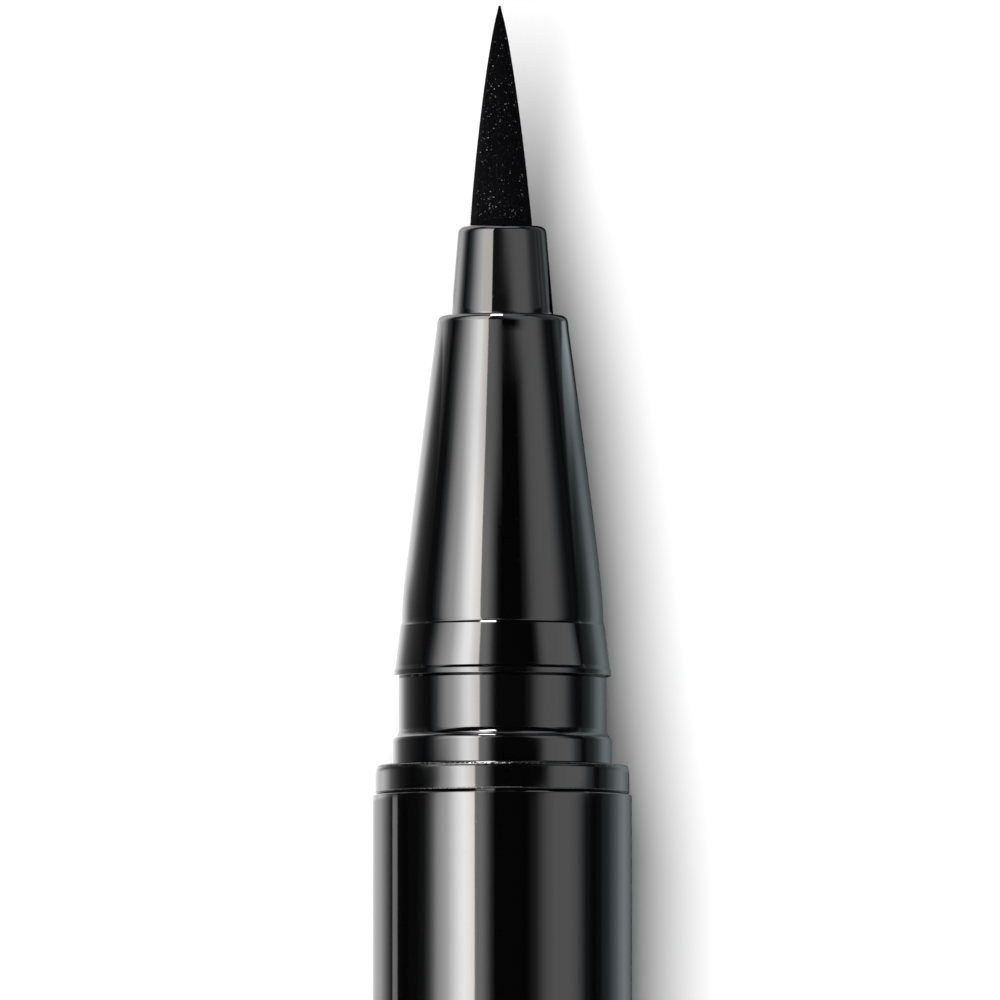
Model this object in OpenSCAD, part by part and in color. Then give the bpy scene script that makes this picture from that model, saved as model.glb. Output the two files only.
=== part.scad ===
// Liquid eyeliner pen with a brush point, a finned ink collector, a mixing ball and a cap with a
// sprung inner seal. All sizes are in millimetres.
//
// Every piece is drawn upright round the Z axis. Z is zero at the barrel's front rim, the brush
// points up, and the tail with the cap on it points down. The module laid() then lays the pen along
// Y on the plane Z = 0, with the brush towards +Y and the origin under the middle of its length.

/* [Barrel] */
// Outer diameter of the barrel, and of the cap
barrel_d = 10; // [9.6:0.1:10.6]
// Length of the barrel's outer shell
barrel_len = 83; // [76:1:92]
// Wall of the barrel's outer shell
barrel_wall = 0.55; // [0.45:0.05:0.6]
// Rounding of the barrel's front rim
rim_edge = 0.06; // [0.03:0.01:0.1]
// Rounding of the barrel's rear rim
tail_edge = 0.3; // [0.28:0.01:0.4]
// How far the tail plug stands out of the barrel, to carry the cap
post_len = 8; // [6:0.5:9]
// Wall of the tail plug
post_wall = 0.9; // [0.7:0.1:1.2]
// Rounding of the tail plug's end
post_edge = 0.5; // [0.2:0.1:0.8]

/* [Collar and tank] */
// How far the collar stands back from the barrel, on the radius
collar_inset = 0.095; // [0.05:0.005:0.2]
// Length of the collar
collar_len = 1.1; // [0.8:0.1:1.6]
// Rounding of the collar's front edge
collar_edge = 0.25; // [0.1:0.05:0.35]
// Wall of the tank at its mouth
tank_wall = 0.65; // [0.55:0.05:0.75]
// Length of the tank behind the barrel's front rim
tank_len = 66; // [58:1:70]
// How much narrower the ink chamber is than the mouth, on the radius
chamber_step = 0.45; // [0.3:0.05:0.6]
// Length of the stopper that goes into the tank's rear end
stopper_len = 3; // [2:0.5:4]
// Thickness of the stopper's flange and of its end wall
stopper_flange = 0.8; // [0.6:0.1:1.2]
// Wall of the stopper's skirt
stopper_wall = 1; // [0.7:0.1:1.2]

/* [Section] */
// Length of the step ring that fills the cap's mouth
step_len = 1.1; // [0.8:0.1:1.6]
// Rounding of the step ring's front edge
step_edge = 0.16; // [0.05:0.01:0.2]
// Length of the neck
neck_len = 2.4; // [2:0.1:3]
// How far the neck stands back from the step ring, on the radius
neck_inset = 0.225; // [0.19:0.005:0.3]
// Hollow rounding between the neck and the step ring
neck_fillet = 0.06; // [0.02:0.01:0.1]
// Length of the snap ridge
ridge_len = 2; // [1.6:0.1:2.6]
// How far the snap ridge stands back from the step ring, on the radius
ridge_inset = 0.04; // [0.02:0.01:0.06]
// How much the snap ridge narrows towards the cone, on the radius
ridge_lead = 0.275; // [0.2:0.005:0.35]
// Rounding of the snap ridge's lip
lip_edge = 0.14; // [0.05:0.01:0.16]
// Length of the plug behind the collector, inside the spigot
plug_len = 3.4; // [2.6:0.1:4.4]
// Wall of the spigot
spigot_wall = 1; // [0.8:0.05:1.1]
// Depth of the groove for the seal ring
groove_depth = 0.5; // [0.4:0.05:0.6]
// Width of the groove for the seal ring
groove_w = 0.7; // [0.6:0.05:0.9]
// Length of the nozzle that the cone is pressed on
nozzle_len = 5.4; // [4.5:0.1:6]

/* [Front cone] */
// Length of the cone
cone_len = 11.95; // [11:0.05:13]
// Diameter of the cone's front end, before its edge is rounded
cone_top_d = 5; // [4.7:0.1:5.2]
// Small step from the cone's rear edge out to the snap ridge, on the radius
cone_step = 0.035; // [0.02:0.005:0.06]
// Length over which the flank turns from straight to upright at the rear edge
cone_bend = 1.5; // [1:0.1:2]
// Rounding of the cone's front edge
cone_edge = 0.36; // [0.1:0.02:0.4]
// Wall of the cone at the nozzle's end
cone_wall = 0.55; // [0.45:0.05:0.7]

/* [Tip holder] */
// Length of the tip holder that shows
holder_len = 3.45; // [3:0.05:4]
// Diameter of the tip holder's front end, before its edge is rounded
holder_top_d = 3.38; // [3.3:0.02:3.5]
// Diameter of the tip holder where it meets the cone
holder_bottom_d = 3.96; // [3.8:0.02:4.1]
// Rounding of the tip holder's front edge
holder_edge = 0.22; // [0.1:0.02:0.3]
// Length of the stem that goes into the cone
stem_len = 4.4; // [3.8:0.1:5]
// Wall of the stem
stem_wall = 0.38; // [0.3:0.02:0.45]

/* [Brush] */
// Length of the brush that shows
tip_len = 8.55; // [7.5:0.05:9.5]
// Diameter of the brush where it leaves the holder
tip_d = 2.42; // [2.2:0.02:2.5]
// Power that shapes the point: 1 is a straight cone, and less is blunter
tip_power = 0.7; // [0.6:0.05:1]
// Share by which the flank swells half way along
tip_belly_share = 0.12; // [0:0.02:0.2]
// Thickness of the fused flange at the brush's root
root_flange = 0.6; // [0.4:0.1:0.8]

/* [Feed] */
// Diameter of the feed rod
feed_d = 1.6; // [1.4:0.1:1.7]
// Diameter of the feed rod's nose, inside the brush
nose_d = 1; // [0.8:0.1:1.1]
// Length of the feed rod's nose
nose_len = 4; // [3:0.5:5]
// Length of the feed rod that dips into the ink chamber
dip_len = 3; // [2:0.5:5]
// Wall of the collector's core tube
core_wall = 0.4; // [0.3:0.05:0.5]
// Length of the collector
collector_len = 17.6; // [15.5:0.1:18.5]
// Thickness of one collector fin
fin_t = 0.35; // [0.25:0.05:0.4]
// Distance from one fin to the next
fin_pitch = 0.75; // [0.65:0.05:1]
// Thickness of the collector's two end flanges
end_fin_t = 0.6; // [0.5:0.1:0.8]
// Width of the ink slot through the fins
ink_slot_w = 0.3; // [0.2:0.05:0.4]
// Length of the ink slot through the collector's plug, along the radius
ink_slot_len = 1; // [0.6:0.1:1.2]
// Width of the air slot through the fins
air_slot_w = 0.9; // [0.6:0.1:1.2]
// Diameter of the mixing ball
ball_d = 4; // [3:0.5:5]

/* [Cap] */
// Wall of the cap's shell
cap_wall = 0.71; // [0.6:0.01:0.75]
// Rounding of the cap's mouth
mouth_edge = 0.3; // [0.28:0.01:0.4]
// How far the cap's inner bead hooks in behind the snap ridge, on the radius
bead_grip = 0.09; // [0.06:0.01:0.12]
// Width of the bead along the cap
bead_w = 0.6; // [0.4:0.1:0.8]
// Thickness of the ring that keeps the seal cup in
retainer_t = 1; // [0.8:0.1:1.4]
// Diameter at which the seal cup closes on the cone
lip_d = 5.3; // [5.16:0.02:5.5]
// Depth of the funnel that leads to the seal cup's lip
lip_lead = 0.5; // [0.3:0.1:0.8]
// Inner diameter of the seal cup
cup_bore_d = 4.6; // [4.3:0.1:4.8]
// Wall of the seal cup beside its lip
cup_wall = 0.35; // [0.25:0.05:0.45]
// Thickness of the seal cup's end wall
cup_end_t = 0.6; // [0.5:0.1:0.8]
// How far the closed cap pushes the seal cup back against its spring
preload = 1; // [0.6:0.1:1.3]
// Free length ahead of the brush's point when the cap is closed
tip_room = 1.56; // [1:0.02:2.5]
// Length of the spring
spring_len = 11.8; // [10:0.2:14]
// Diameter of the spring's wire
wire_d = 0.45; // [0.35:0.05:0.5]
// Number of turns of the spring
spring_turns = 7; // [5:1:9]
// Thickness of the end plug's visible disc
disc_t = 1.4; // [1:0.1:2]
// Rounding of the end plug's outer edge
disc_edge = 0.45; // [0.2:0.05:0.7]
// Length of the end plug's skirt inside the cap
skirt_len = 3; // [2:0.5:4]
// Wall of the end plug's skirt
skirt_wall = 1; // [0.7:0.1:1.2]

/* [Hidden] */

$fn = 96;
// Steps in a rounded edge, and in a curved flank
edge_steps = 6;
flank_steps = 28;
// Overrun of every cut past the solid that it cuts
over = 0.1;

// Gap on the radius of a pressed seat, of a seat that is pushed on by hand, and of a sliding piece
press_gap = 0.02;
cap_gap = 0.04;
slide_gap = 0.12;
// Gap by which the cone clears the ring that keeps the seal cup in
pass_gap = 0.3;
// Gap between the tail plug and the cap's bead, and how far the plug's ribs stand out into it
post_gap = 0.07;
rib_rise = 0.05;
rib_d = 0.5;
rib_count = 3;
// Inset of the brush's root flange from its bore
flange_inset = 0.1;
// Drop from the snap ridge's front to the shelf that stops the collector
shelf_drop = 0.6;
// Distance from the collar down to the seal ring's groove
groove_drop = 2.3;
// Boss that centres the spring, on the seal cup and on the end plug
boss_len = 0.8;
boss_gap = 0.2;
spring_gap = 0.05;
// Mean diameter of the spring
spring_d = 4.6;
spring_rings = 16;
spring_sides = 6;

// Heights along the pen, from the barrel's front rim up to the brush's point
z_step = collar_len + step_len;
z_neck = z_step + neck_len;
z_ridge = z_neck + ridge_len;
z_cone = z_ridge + cone_len;
z_holder = z_cone + holder_len;
z_tip = z_holder + tip_len;
z_nozzle = z_ridge + nozzle_len;
z_stem = z_cone - stem_len;
z_root = z_stem - root_flange;
z_shelf = z_ridge - shelf_drop;
z_collector = z_shelf - collector_len;
z_spigot = z_collector - press_gap - plug_len;
z_plug = z_spigot - stopper_flange;
z_tail = -barrel_len;

// Radii of the barrel and the tank, from the outside in
barrel_r = barrel_d / 2;
collar_r = barrel_r - collar_inset;
sleeve_bore_r = barrel_r - barrel_wall;
tank_r = sleeve_bore_r - press_gap;
mouth_r = tank_r - tank_wall;
chamber_r = mouth_r - chamber_step;
spigot_r = mouth_r - press_gap;
groove_r = spigot_r - groove_depth;
core_bore_r = spigot_r - spigot_wall;

// Radii of the cap's seat on the section
cap_bore_r = barrel_r - cap_wall;
step_r = cap_bore_r - cap_gap;
neck_r = step_r - neck_inset;
ridge_r = step_r - ridge_inset;
ridge_top_r = ridge_r - ridge_lead;
bead_r = ridge_r - bead_grip;
post_r = bead_r - post_gap;

// Radii of the cone, the brush and the feed
cone_bottom_r = ridge_top_r - cone_step;
cone_top_r = cone_top_d / 2;
bundle_r = tip_d / 2;
bundle_bore_r = bundle_r + press_gap;
stem_r = bundle_bore_r + stem_wall;
cone_bore_r = stem_r + press_gap;
flange_r = stem_r - flange_inset;
feed_r = feed_d / 2;
nose_r = nose_d / 2;
feed_bore_r = feed_r + press_gap;
core_r = feed_bore_r + core_wall;
fin_r = core_bore_r - slide_gap;
z_nose = z_root + nose_len;

// Radius of the cone's flank at height h above its rear edge: a straight taper that bends upright
cone_taper = (cone_bottom_r - cone_top_r) / (sqrt(cone_len ^ 2 + cone_bend ^ 2) - cone_bend);
function cone_r(h) = cone_bottom_r - cone_taper * (sqrt(h ^ 2 + cone_bend ^ 2) - cone_bend);
// Height above its rear edge at which the cone's flank has radius r
function cone_h(r) = sqrt(((cone_bottom_r - r) / cone_taper + cone_bend) ^ 2 - cone_bend ^ 2);
nozzle_r = cone_r(nozzle_len) - cone_wall;

// Depths into the cap, from its mouth. The closed cap's mouth stands on the collar.
lip_r = lip_d / 2;
cup_bore_r = cup_bore_d / 2;
cup_r = lip_r + cup_wall;
lip_depth = z_ridge + cone_h(lip_r) - collar_len - preload;
cup_depth = lip_depth - lip_lead;
retainer_depth = cup_depth - press_gap - retainer_t;
throat_depth = z_cone - collar_len - preload + cap_gap;
floor_depth = z_tip - collar_len - preload + tip_room;
cup_end_depth = floor_depth + cup_end_t;
bead_depth = z_neck - collar_len - neck_fillet - bead_w;
disc_depth = cup_end_depth + spring_len;
cap_len = disc_depth + disc_t;
boss_r = spring_d / 2 - wire_d / 2 - boss_gap;
retainer_r = cone_r(collar_len + retainer_depth - z_ridge) + pass_gap;

// The pen's place when it lies down
z_mid = (z_tip + z_tail - cap_len) / 2;
ball_r = ball_d / 2;

// Points of an arc round the point c, from angle a to angle b
function arc(c, r, a, b) =
    [for (i = [0:edge_steps]) let (t = a + (b - a) * i / edge_steps) c + r * [cos(t), sin(t)]];

module turned(outline) {
    rotate_extrude()
        polygon(outline);
}

module tube(outer_r, inner_r, bottom, top) {
    turned([[inner_r, bottom], [outer_r, bottom], [outer_r, top], [inner_r, top]]);
}

module laid() {
    translate([0, -z_mid, barrel_r])
        rotate([-90, 0, 0])
            children();
}

// Places a piece of the cap, drawn with Z as its depth from the mouth
module in_cap() {
    translate([0, 0, z_tail])
        mirror([0, 0, 1])
            children();
}

module barrel_sleeve() {
    color("#0b0b0c")
        turned(concat(
            [[sleeve_bore_r, z_tail]],
            arc([barrel_r - tail_edge, z_tail + tail_edge], tail_edge, -90, 0),
            arc([barrel_r - rim_edge, -rim_edge], rim_edge, 0, 90),
            [[sleeve_bore_r, 0]]));
}

module ink_tank() {
    color("#0c0c0d")
        turned(concat(
            [[chamber_r, -tank_len], [tank_r, -tank_len], [tank_r, 0], [collar_r, 0]],
            arc([collar_r - collar_edge, collar_len - collar_edge], collar_edge, 0, 90),
            [[mouth_r, collar_len], [mouth_r, z_plug], [chamber_r, z_plug - chamber_step]]));
}

module tank_stopper() {
    top = stopper_len - tank_len;
    bottom = -tank_len - stopper_flange;
    skirt_r = chamber_r - press_gap;
    color("#d8d6cf")
        turned([[0, top - stopper_flange], [skirt_r - stopper_wall, top - stopper_flange],
                [skirt_r - stopper_wall, bottom], [tank_r, bottom], [tank_r, -tank_len],
                [skirt_r, -tank_len], [skirt_r, top], [0, top]]);
}

module tail_plug() {
    stem_top = -tank_len - stopper_flange;
    post_end = z_tail - post_len;
    rib_len = post_len - post_edge;
    color("#101011") {
        turned(concat(
            [[0, post_end]],
            arc([post_r - post_edge, post_end + post_edge], post_edge, -90, 0),
            [[post_r, z_tail], [tank_r, z_tail], [tank_r, stem_top]],
            [[post_r - post_wall, stem_top], [post_r - post_wall, post_end + post_wall]],
            [[0, post_end + post_wall]]));
        for (i = [1:rib_count])
            rotate(i * 360 / rib_count)
                translate([post_r + rib_rise - rib_d / 2, 0, post_end + post_edge])
                    cylinder(d = rib_d, h = rib_len);
    }
}

module section_body() {
    groove_top = collar_len - groove_drop;
    color("#0c0c0d")
        turned(concat(
            [[core_bore_r, z_spigot], [spigot_r, z_spigot], [spigot_r, groove_top - groove_w]],
            [[groove_r, groove_top - groove_w], [groove_r, groove_top], [spigot_r, groove_top]],
            [[spigot_r, collar_len], [step_r, collar_len]],
            arc([step_r - step_edge, z_step - step_edge], step_edge, 0, 90),
            arc([neck_r + neck_fillet, z_step + neck_fillet], neck_fillet, 270, 180),
            [[neck_r, z_neck]],
            arc([ridge_r - lip_edge, z_neck + lip_edge], lip_edge, -90, 0),
            [[ridge_top_r, z_ridge], [nozzle_r, z_ridge], [nozzle_r, z_nozzle]],
            [[core_r + slide_gap, z_nozzle], [core_r + slide_gap, z_shelf]],
            [[core_bore_r, z_shelf]]));
}

module section_seal() {
    section_r = (mouth_r - groove_r) / 2 - press_gap;
    color("#3a3a3c")
        translate([0, 0, collar_len - groove_drop - groove_w / 2])
            rotate_extrude()
                translate([(mouth_r + groove_r) / 2, 0])
                    circle(r = section_r, $fn = 32);
}

module front_cone() {
    flank_top = cone_len - cone_edge;
    edge_r = cone_r(flank_top) - cone_edge;
    color("#0d0d0e")
        turned(concat(
            [[nozzle_r + press_gap, z_ridge]],
            [for (i = [0:flank_steps]) let (h = flank_top * i / flank_steps) [cone_r(h), z_ridge + h]],
            arc([edge_r, z_cone - cone_edge], cone_edge, 0, 90),
            [[cone_bore_r, z_cone], [cone_bore_r, z_nozzle + press_gap]],
            [[nozzle_r + press_gap, z_nozzle + press_gap]]));
}

module tip_holder() {
    top_r = holder_top_d / 2;
    color("#0e0e0f")
        turned(concat(
            [[bundle_bore_r, z_stem], [stem_r, z_stem], [stem_r, z_cone]],
            [[holder_bottom_d / 2, z_cone]],
            arc([top_r - holder_edge, z_holder - holder_edge], holder_edge, 0, 90),
            [[bundle_bore_r, z_holder]]));
}

// The brush is wet through, so its bristles lie closed in one smooth point
module brush_tip() {
    nose_bore_r = nose_r + press_gap;
    color("#050506")
        turned(concat(
            [[nose_bore_r, z_root], [flange_r, z_root], [flange_r, z_stem], [bundle_r, z_stem]],
            [for (i = [0:flank_steps])
                let (t = 1 - i / flank_steps)
                    [bundle_r * t ^ tip_power * (1 + tip_belly_share * t * (1 - t)),
                     z_holder + tip_len * (1 - t)]],
            [[0, z_nose + press_gap], [nose_bore_r, z_nose + press_gap]]));
}

module feed_rod() {
    foot = z_plug - dip_len;
    color("#2a2724")
        turned([[0, foot], [feed_r, foot], [feed_r, z_root - press_gap],
                [nose_r, z_root - press_gap], [nose_r, z_nose], [0, z_nose]]);
}

module feed_collector() {
    fins_from = z_collector + end_fin_t;
    fins_to = z_shelf - end_fin_t;
    fin_count = floor((fins_to - fins_from) / fin_pitch) - 1;
    first_fin = (fins_from + fins_to - (fin_count - 1) * fin_pitch - fin_t) / 2;
    end_fin_r = core_bore_r - press_gap;
    color("#e4e2dc")
        difference() {
            union() {
                tube(core_r, feed_bore_r, z_collector, z_shelf);
                tube(end_fin_r, feed_bore_r, z_collector, fins_from);
                tube(end_fin_r, feed_bore_r, fins_to, z_shelf);
                for (i = [0:fin_count - 1])
                    translate([0, 0, first_fin + i * fin_pitch])
                        tube(fin_r, feed_bore_r, 0, fin_t);
            }
            translate([core_r, -ink_slot_w / 2, z_collector - over])
                cube([end_fin_r, ink_slot_w, collector_len - end_fin_t + over]);
            translate([-core_r - end_fin_r, -air_slot_w / 2, fins_from])
                cube([end_fin_r, air_slot_w, collector_len - end_fin_t + over]);
        }
}

// Closes the spigot behind the collector, but for the feed rod's hole and the ink slot
module collector_plug() {
    color("#d8d6cf")
        difference() {
            union() {
                tube(core_bore_r - press_gap, feed_bore_r, z_spigot, z_collector - press_gap);
                tube(spigot_r, feed_bore_r, z_plug, z_spigot);
            }
            translate([core_r, -ink_slot_w / 2, z_plug - over])
                cube([ink_slot_len, ink_slot_w, z_collector - z_plug + over * 2]);
        }
}

// The ball lies on the floor of the ink chamber, against the stopper
module mixing_ball() {
    color("#b9bcc0")
        translate([0, chamber_r - press_gap - ball_r, stopper_len - tank_len + ball_r + press_gap])
            sphere(r = ball_r);
}

module cap_shell() {
    color("#0b0b0c")
        in_cap()
            turned(concat(
                [[cap_bore_r, 0]],
                arc([barrel_r - mouth_edge, mouth_edge], mouth_edge, -90, 0),
                arc([barrel_r - rim_edge, disc_depth - rim_edge], rim_edge, 0, 90),
                [[cap_bore_r, disc_depth]],
                [[cap_bore_r, bead_depth + bead_w], [bead_r, bead_depth + bead_w * 2 / 3]],
                [[bead_r, bead_depth + bead_w / 3], [cap_bore_r, bead_depth]]));
}

module cap_end_plug() {
    skirt_r = cap_bore_r - press_gap;
    color("#101011")
        in_cap()
            turned(concat(
                [[0, disc_depth - boss_len], [boss_r, disc_depth - boss_len], [boss_r, disc_depth]],
                [[skirt_r - skirt_wall, disc_depth], [skirt_r - skirt_wall, disc_depth - skirt_len]],
                [[skirt_r, disc_depth - skirt_len], [skirt_r, disc_depth], [barrel_r, disc_depth]],
                arc([barrel_r - disc_edge, cap_len - disc_edge], disc_edge, 0, 90),
                [[0, cap_len]]));
}

module seal_retainer() {
    color("#c9c7c1")
        in_cap()
            tube(cap_bore_r - press_gap, retainer_r, retainer_depth, retainer_depth + retainer_t);
}

module seal_cup() {
    flange = [cap_bore_r - slide_gap, cup_depth + retainer_t];
    color("#e2e0da")
        in_cap()
            turned([[0, floor_depth], [cup_bore_r, floor_depth],
                    [cup_bore_r, throat_depth + lip_r - cup_bore_r], [lip_r, throat_depth],
                    [lip_r, lip_depth], [lip_r + lip_lead / 2, cup_depth], [flange[0], cup_depth],
                    flange, [cup_r, flange[1]], [cup_r, cup_end_depth], [boss_r, cup_end_depth],
                    [boss_r, cup_end_depth + boss_len], [0, cup_end_depth + boss_len]]);
}

// One unbroken coil of round wire from the seal cup to the end plug
module cap_spring() {
    wire_r = wire_d / 2;
    steps = spring_turns * spring_rings;
    start = cup_end_depth + wire_r + spring_gap;
    rise = spring_len - wire_d - spring_gap * 2;
    ring = [for (k = [0:spring_sides - 1]) let (a = k * 360 / spring_sides) wire_r * [cos(a), sin(a)]];
    points = [for (i = [0:steps], p = ring)
        let (a = i * 360 / spring_rings, r = spring_d / 2 + p[0])
            [r * cos(a), r * sin(a), start + rise * i / steps + p[1]]];
    function wall(i, k) = let (a = i * spring_sides + k, b = i * spring_sides + (k + 1) % spring_sides)
        [[a, b, b + spring_sides], [a, b + spring_sides, a + spring_sides]];
    walls = [for (i = [0:steps - 1], k = [0:spring_sides - 1], f = wall(i, k)) f];
    ends = [[for (k = [spring_sides - 1:-1:0]) k],
            [for (k = [0:spring_sides - 1]) steps * spring_sides + k]];
    color("#9a9da1")
        in_cap()
            polyhedron(points = points, faces = concat(walls, ends));
}

laid() barrel_sleeve();
laid() ink_tank();
laid() tank_stopper();
laid() tail_plug();
laid() section_body();
laid() section_seal();
laid() front_cone();
laid() tip_holder();
laid() brush_tip();
laid() feed_rod();
laid() feed_collector();
laid() collector_plug();
laid() mixing_ball();
laid() cap_shell();
laid() cap_end_plug();
laid() seal_retainer();
laid() seal_cup();
laid() cap_spring();
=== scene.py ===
# %% [markdown]
# # A liquid eyeliner pen
#
# The pen lies on white paper with its brush towards +Y, its cap pushed on its tail, and the camera
# above it. Nearly every piece of the real one is turned: its mould is cut on a lathe, so one outline
# swung round the pen's axis gives it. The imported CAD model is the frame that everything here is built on.

# %% Load the frame
import math

import bmesh
import bpy
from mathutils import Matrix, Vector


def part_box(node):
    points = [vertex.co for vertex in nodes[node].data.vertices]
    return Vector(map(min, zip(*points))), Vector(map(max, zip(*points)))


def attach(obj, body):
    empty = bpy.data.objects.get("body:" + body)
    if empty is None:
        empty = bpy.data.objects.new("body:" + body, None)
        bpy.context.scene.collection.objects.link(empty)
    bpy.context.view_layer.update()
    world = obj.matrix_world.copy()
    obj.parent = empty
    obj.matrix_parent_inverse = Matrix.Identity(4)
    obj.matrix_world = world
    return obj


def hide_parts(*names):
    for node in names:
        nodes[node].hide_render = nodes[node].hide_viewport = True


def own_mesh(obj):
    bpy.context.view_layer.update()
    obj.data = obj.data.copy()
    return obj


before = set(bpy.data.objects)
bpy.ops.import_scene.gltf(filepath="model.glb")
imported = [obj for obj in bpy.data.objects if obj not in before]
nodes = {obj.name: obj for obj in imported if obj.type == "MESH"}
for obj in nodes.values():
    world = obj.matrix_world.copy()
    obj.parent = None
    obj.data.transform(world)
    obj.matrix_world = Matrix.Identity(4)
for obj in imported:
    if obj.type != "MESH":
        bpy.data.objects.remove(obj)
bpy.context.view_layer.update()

# %% [markdown]
# Every size below is in millimetres, and every height is measured along the pen from the barrel's
# front rim: above zero towards the brush, below zero towards the tail. Only the key lamp and the outer
# sizes of the studio's sheets are in metres. The rim and the axis are read from the frame, so that a piece
# lands where the CAD has it.

# %% Heights and the axis
MM = 0.001
barrel_low, barrel_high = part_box("barrel_sleeve")
RIM_Y = barrel_high.y
AXIS_Z = (barrel_low.z + barrel_high.z) / 2
MOUTH = (barrel_low.y - RIM_Y) / MM
SHEET_TOP = 0.0
print(f"rim at y {RIM_Y:.5f} m, axis at z {AXIS_Z:.5f} m, cap's mouth at height {MOUTH:.2f} mm")


def along(height):
    """The place on Y, in metres, of a height in mm."""
    return RIM_Y + height * MM


def in_cap(depth):
    """The height of a depth into the cap, from its mouth."""
    return MOUTH - depth


def placed(name, data):
    """A new object in the scene."""
    made = bpy.data.objects.new(name, data)
    bpy.context.scene.collection.objects.link(made)
    return made


# %% [markdown]
# The photograph was taken from far away with a long lens: the pen's sides stay parallel, and the rings
# bulge only a little towards the brush. So the camera hangs more than a metre above, leans 2.6 degrees
# to the tail, and has a very long lens.

# %% Camera
CAMERA_FAR = 1200
FRAME_WIDE = 38.65
LEAN = math.radians(2.6)
SENSOR = 36
NEAREST, FARTHEST = 50, 10000
AIM_ACROSS, AIM_HEIGHT = -0.085, 11.42
AIM = (AIM_ACROSS * MM, along(AIM_HEIGHT), AXIS_Z)

camera = placed("camera", bpy.data.cameras.new("camera"))
camera.data.sensor_width = SENSOR
camera.data.lens = SENSOR * CAMERA_FAR / FRAME_WIDE
camera.data.clip_start, camera.data.clip_end = NEAREST * MM, FARTHEST * MM
behind, above = CAMERA_FAR * MM * math.sin(LEAN), CAMERA_FAR * MM * math.cos(LEAN)
camera.location = (AIM[0], AIM[1] - behind, AIM[2] + above)
camera.rotation_euler = (LEAN, 0, 0)
bpy.context.scene.camera = camera
bpy.context.scene.view_settings.view_transform = "Standard"
print("lens", round(camera.data.lens), "mm")

# %% [markdown]
# Materials, lights and growing patterns are all sheets of nodes. A sum such as `0.3 + 0.1 * grain` is
# easier to read than four linked boxes, so a small class wraps a socket and turns Python's own operators
# into Math nodes. Any other node comes from one method of the sheet.

# %% A socket that can be calculated with
class Number:
    """One output socket of a node sheet, which takes part in Python sums."""

    def __init__(self, sheet, socket):
        self.sheet, self.socket = sheet, socket

    def sum(self, operation, *values):
        return self.sheet.add("ShaderNodeMath", {"operation": operation}, dict(enumerate(values)))

    def peer(self, name):
        """Another output of the same node."""
        return Number(self.sheet, self.socket.node.outputs[name])

    def __add__(self, other):
        return self.sum("ADD", self, other)

    def __radd__(self, other):
        return self.sum("ADD", other, self)

    def __sub__(self, other):
        return self.sum("SUBTRACT", self, other)

    def __rsub__(self, other):
        return self.sum("SUBTRACT", other, self)

    def __mul__(self, other):
        return self.sum("MULTIPLY", self, other)

    def __rmul__(self, other):
        return self.sum("MULTIPLY", other, self)

    def __truediv__(self, other):
        return self.sum("DIVIDE", self, other)

    def __pow__(self, other):
        return self.sum("POWER", self, other)

    def __lt__(self, other):
        return self.sum("LESS_THAN", self, other)

    def __gt__(self, other):
        return self.sum("GREATER_THAN", self, other)

    def at_least(self, low):
        return self.sum("MAXIMUM", self, low)

    def without_sign(self):
        return self.sum("ABSOLUTE", self)


# %% A sheet of nodes
class Sheet:
    """A material's, a world's or a growing pattern's nodes."""

    def __init__(self, tree):
        self.tree = tree
        tree.nodes.clear()

    def add(self, kind, settings=None, values=None, out=0):
        """Adds a node: its settings first, then the values or links of its sockets."""
        node = self.tree.nodes.new(kind)
        for name, setting in (settings or {}).items():
            if name == "stops":
                self.stops(node.color_ramp, setting)
            else:
                setattr(node, name, setting)
        for name, value in (values or {}).items():
            if isinstance(value, Number):
                self.tree.links.new(value.socket, node.inputs[name])
            else:
                node.inputs[name].default_value = value
        return Number(self, node.outputs[out]) if len(node.outputs) else node

    @staticmethod
    def stops(ramp, stops):
        while len(ramp.elements) < len(stops):
            ramp.elements.new(1.0)
        for element, (place, colour) in zip(ramp.elements, sorted(stops)):
            element.position = place
            element.color = (*colour, 1.0) if hasattr(colour, "__len__") else (colour,) * 3 + (1.0,)

    def place(self):
        """Object coordinates along the pen (height in mm), and across it (x and z in mm from the axis)."""
        point = self.add("ShaderNodeTexCoord", out="Object")
        parts = self.add("ShaderNodeSeparateXYZ", values={0: point})
        height = (parts.peer("Y") - RIM_Y) / MM
        return height, parts / MM, (parts.peer("Z") - AXIS_Z) / MM

    def step(self, value, start, end, smooth=True):
        """Zero before start and one after end."""
        kind = "SMOOTHSTEP" if smooth else "LINEAR"
        return self.add("ShaderNodeMapRange", {"interpolation_type": kind, "clamp": not smooth},
                        {"Value": value, "From Min": start, "From Max": end, "To Min": 0.0, "To Max": 1.0})

    def blend(self, share, first, second, way="MIX"):
        """Two colours mixed by a share."""
        return self.add("ShaderNodeMix", {"data_type": "RGBA", "blend_type": way},
                        {0: share, 6: first, 7: second}, out=2)

    def noise(self, scale, detail=2.0, stretch=(1, 1, 1), roughness=0.5):
        """Soft noise on Object coordinates, scale in patches per mm. A stretch under 1 draws it out."""
        point = self.add("ShaderNodeTexCoord", out="Object")
        spread = self.add("ShaderNodeMapping", {"vector_type": "POINT"},
                          {"Vector": point, "Scale": tuple(s * scale / MM for s in stretch)})
        return self.add("ShaderNodeTexNoise", values={
            "Vector": spread, "Scale": 1.0, "Detail": detail, "Roughness": roughness})

    def bump(self, height, rise):
        """The normal over a relief whose height 1 is a rise in mm."""
        return self.add("ShaderNodeBump", values={
            "Strength": 1.0, "Distance": rise * MM, "Height": height}, out="Normal")

    def surface(self, kind, values):
        """Ends a material's sheet with its one shader."""
        shader = self.add(kind, values=values)
        self.add("ShaderNodeOutputMaterial", values={"Surface": shader})


def new_material(name):
    """A material and its empty sheet."""
    made = bpy.data.materials.new(name)
    made.use_nodes = True
    return made, Sheet(made.node_tree)


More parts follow.
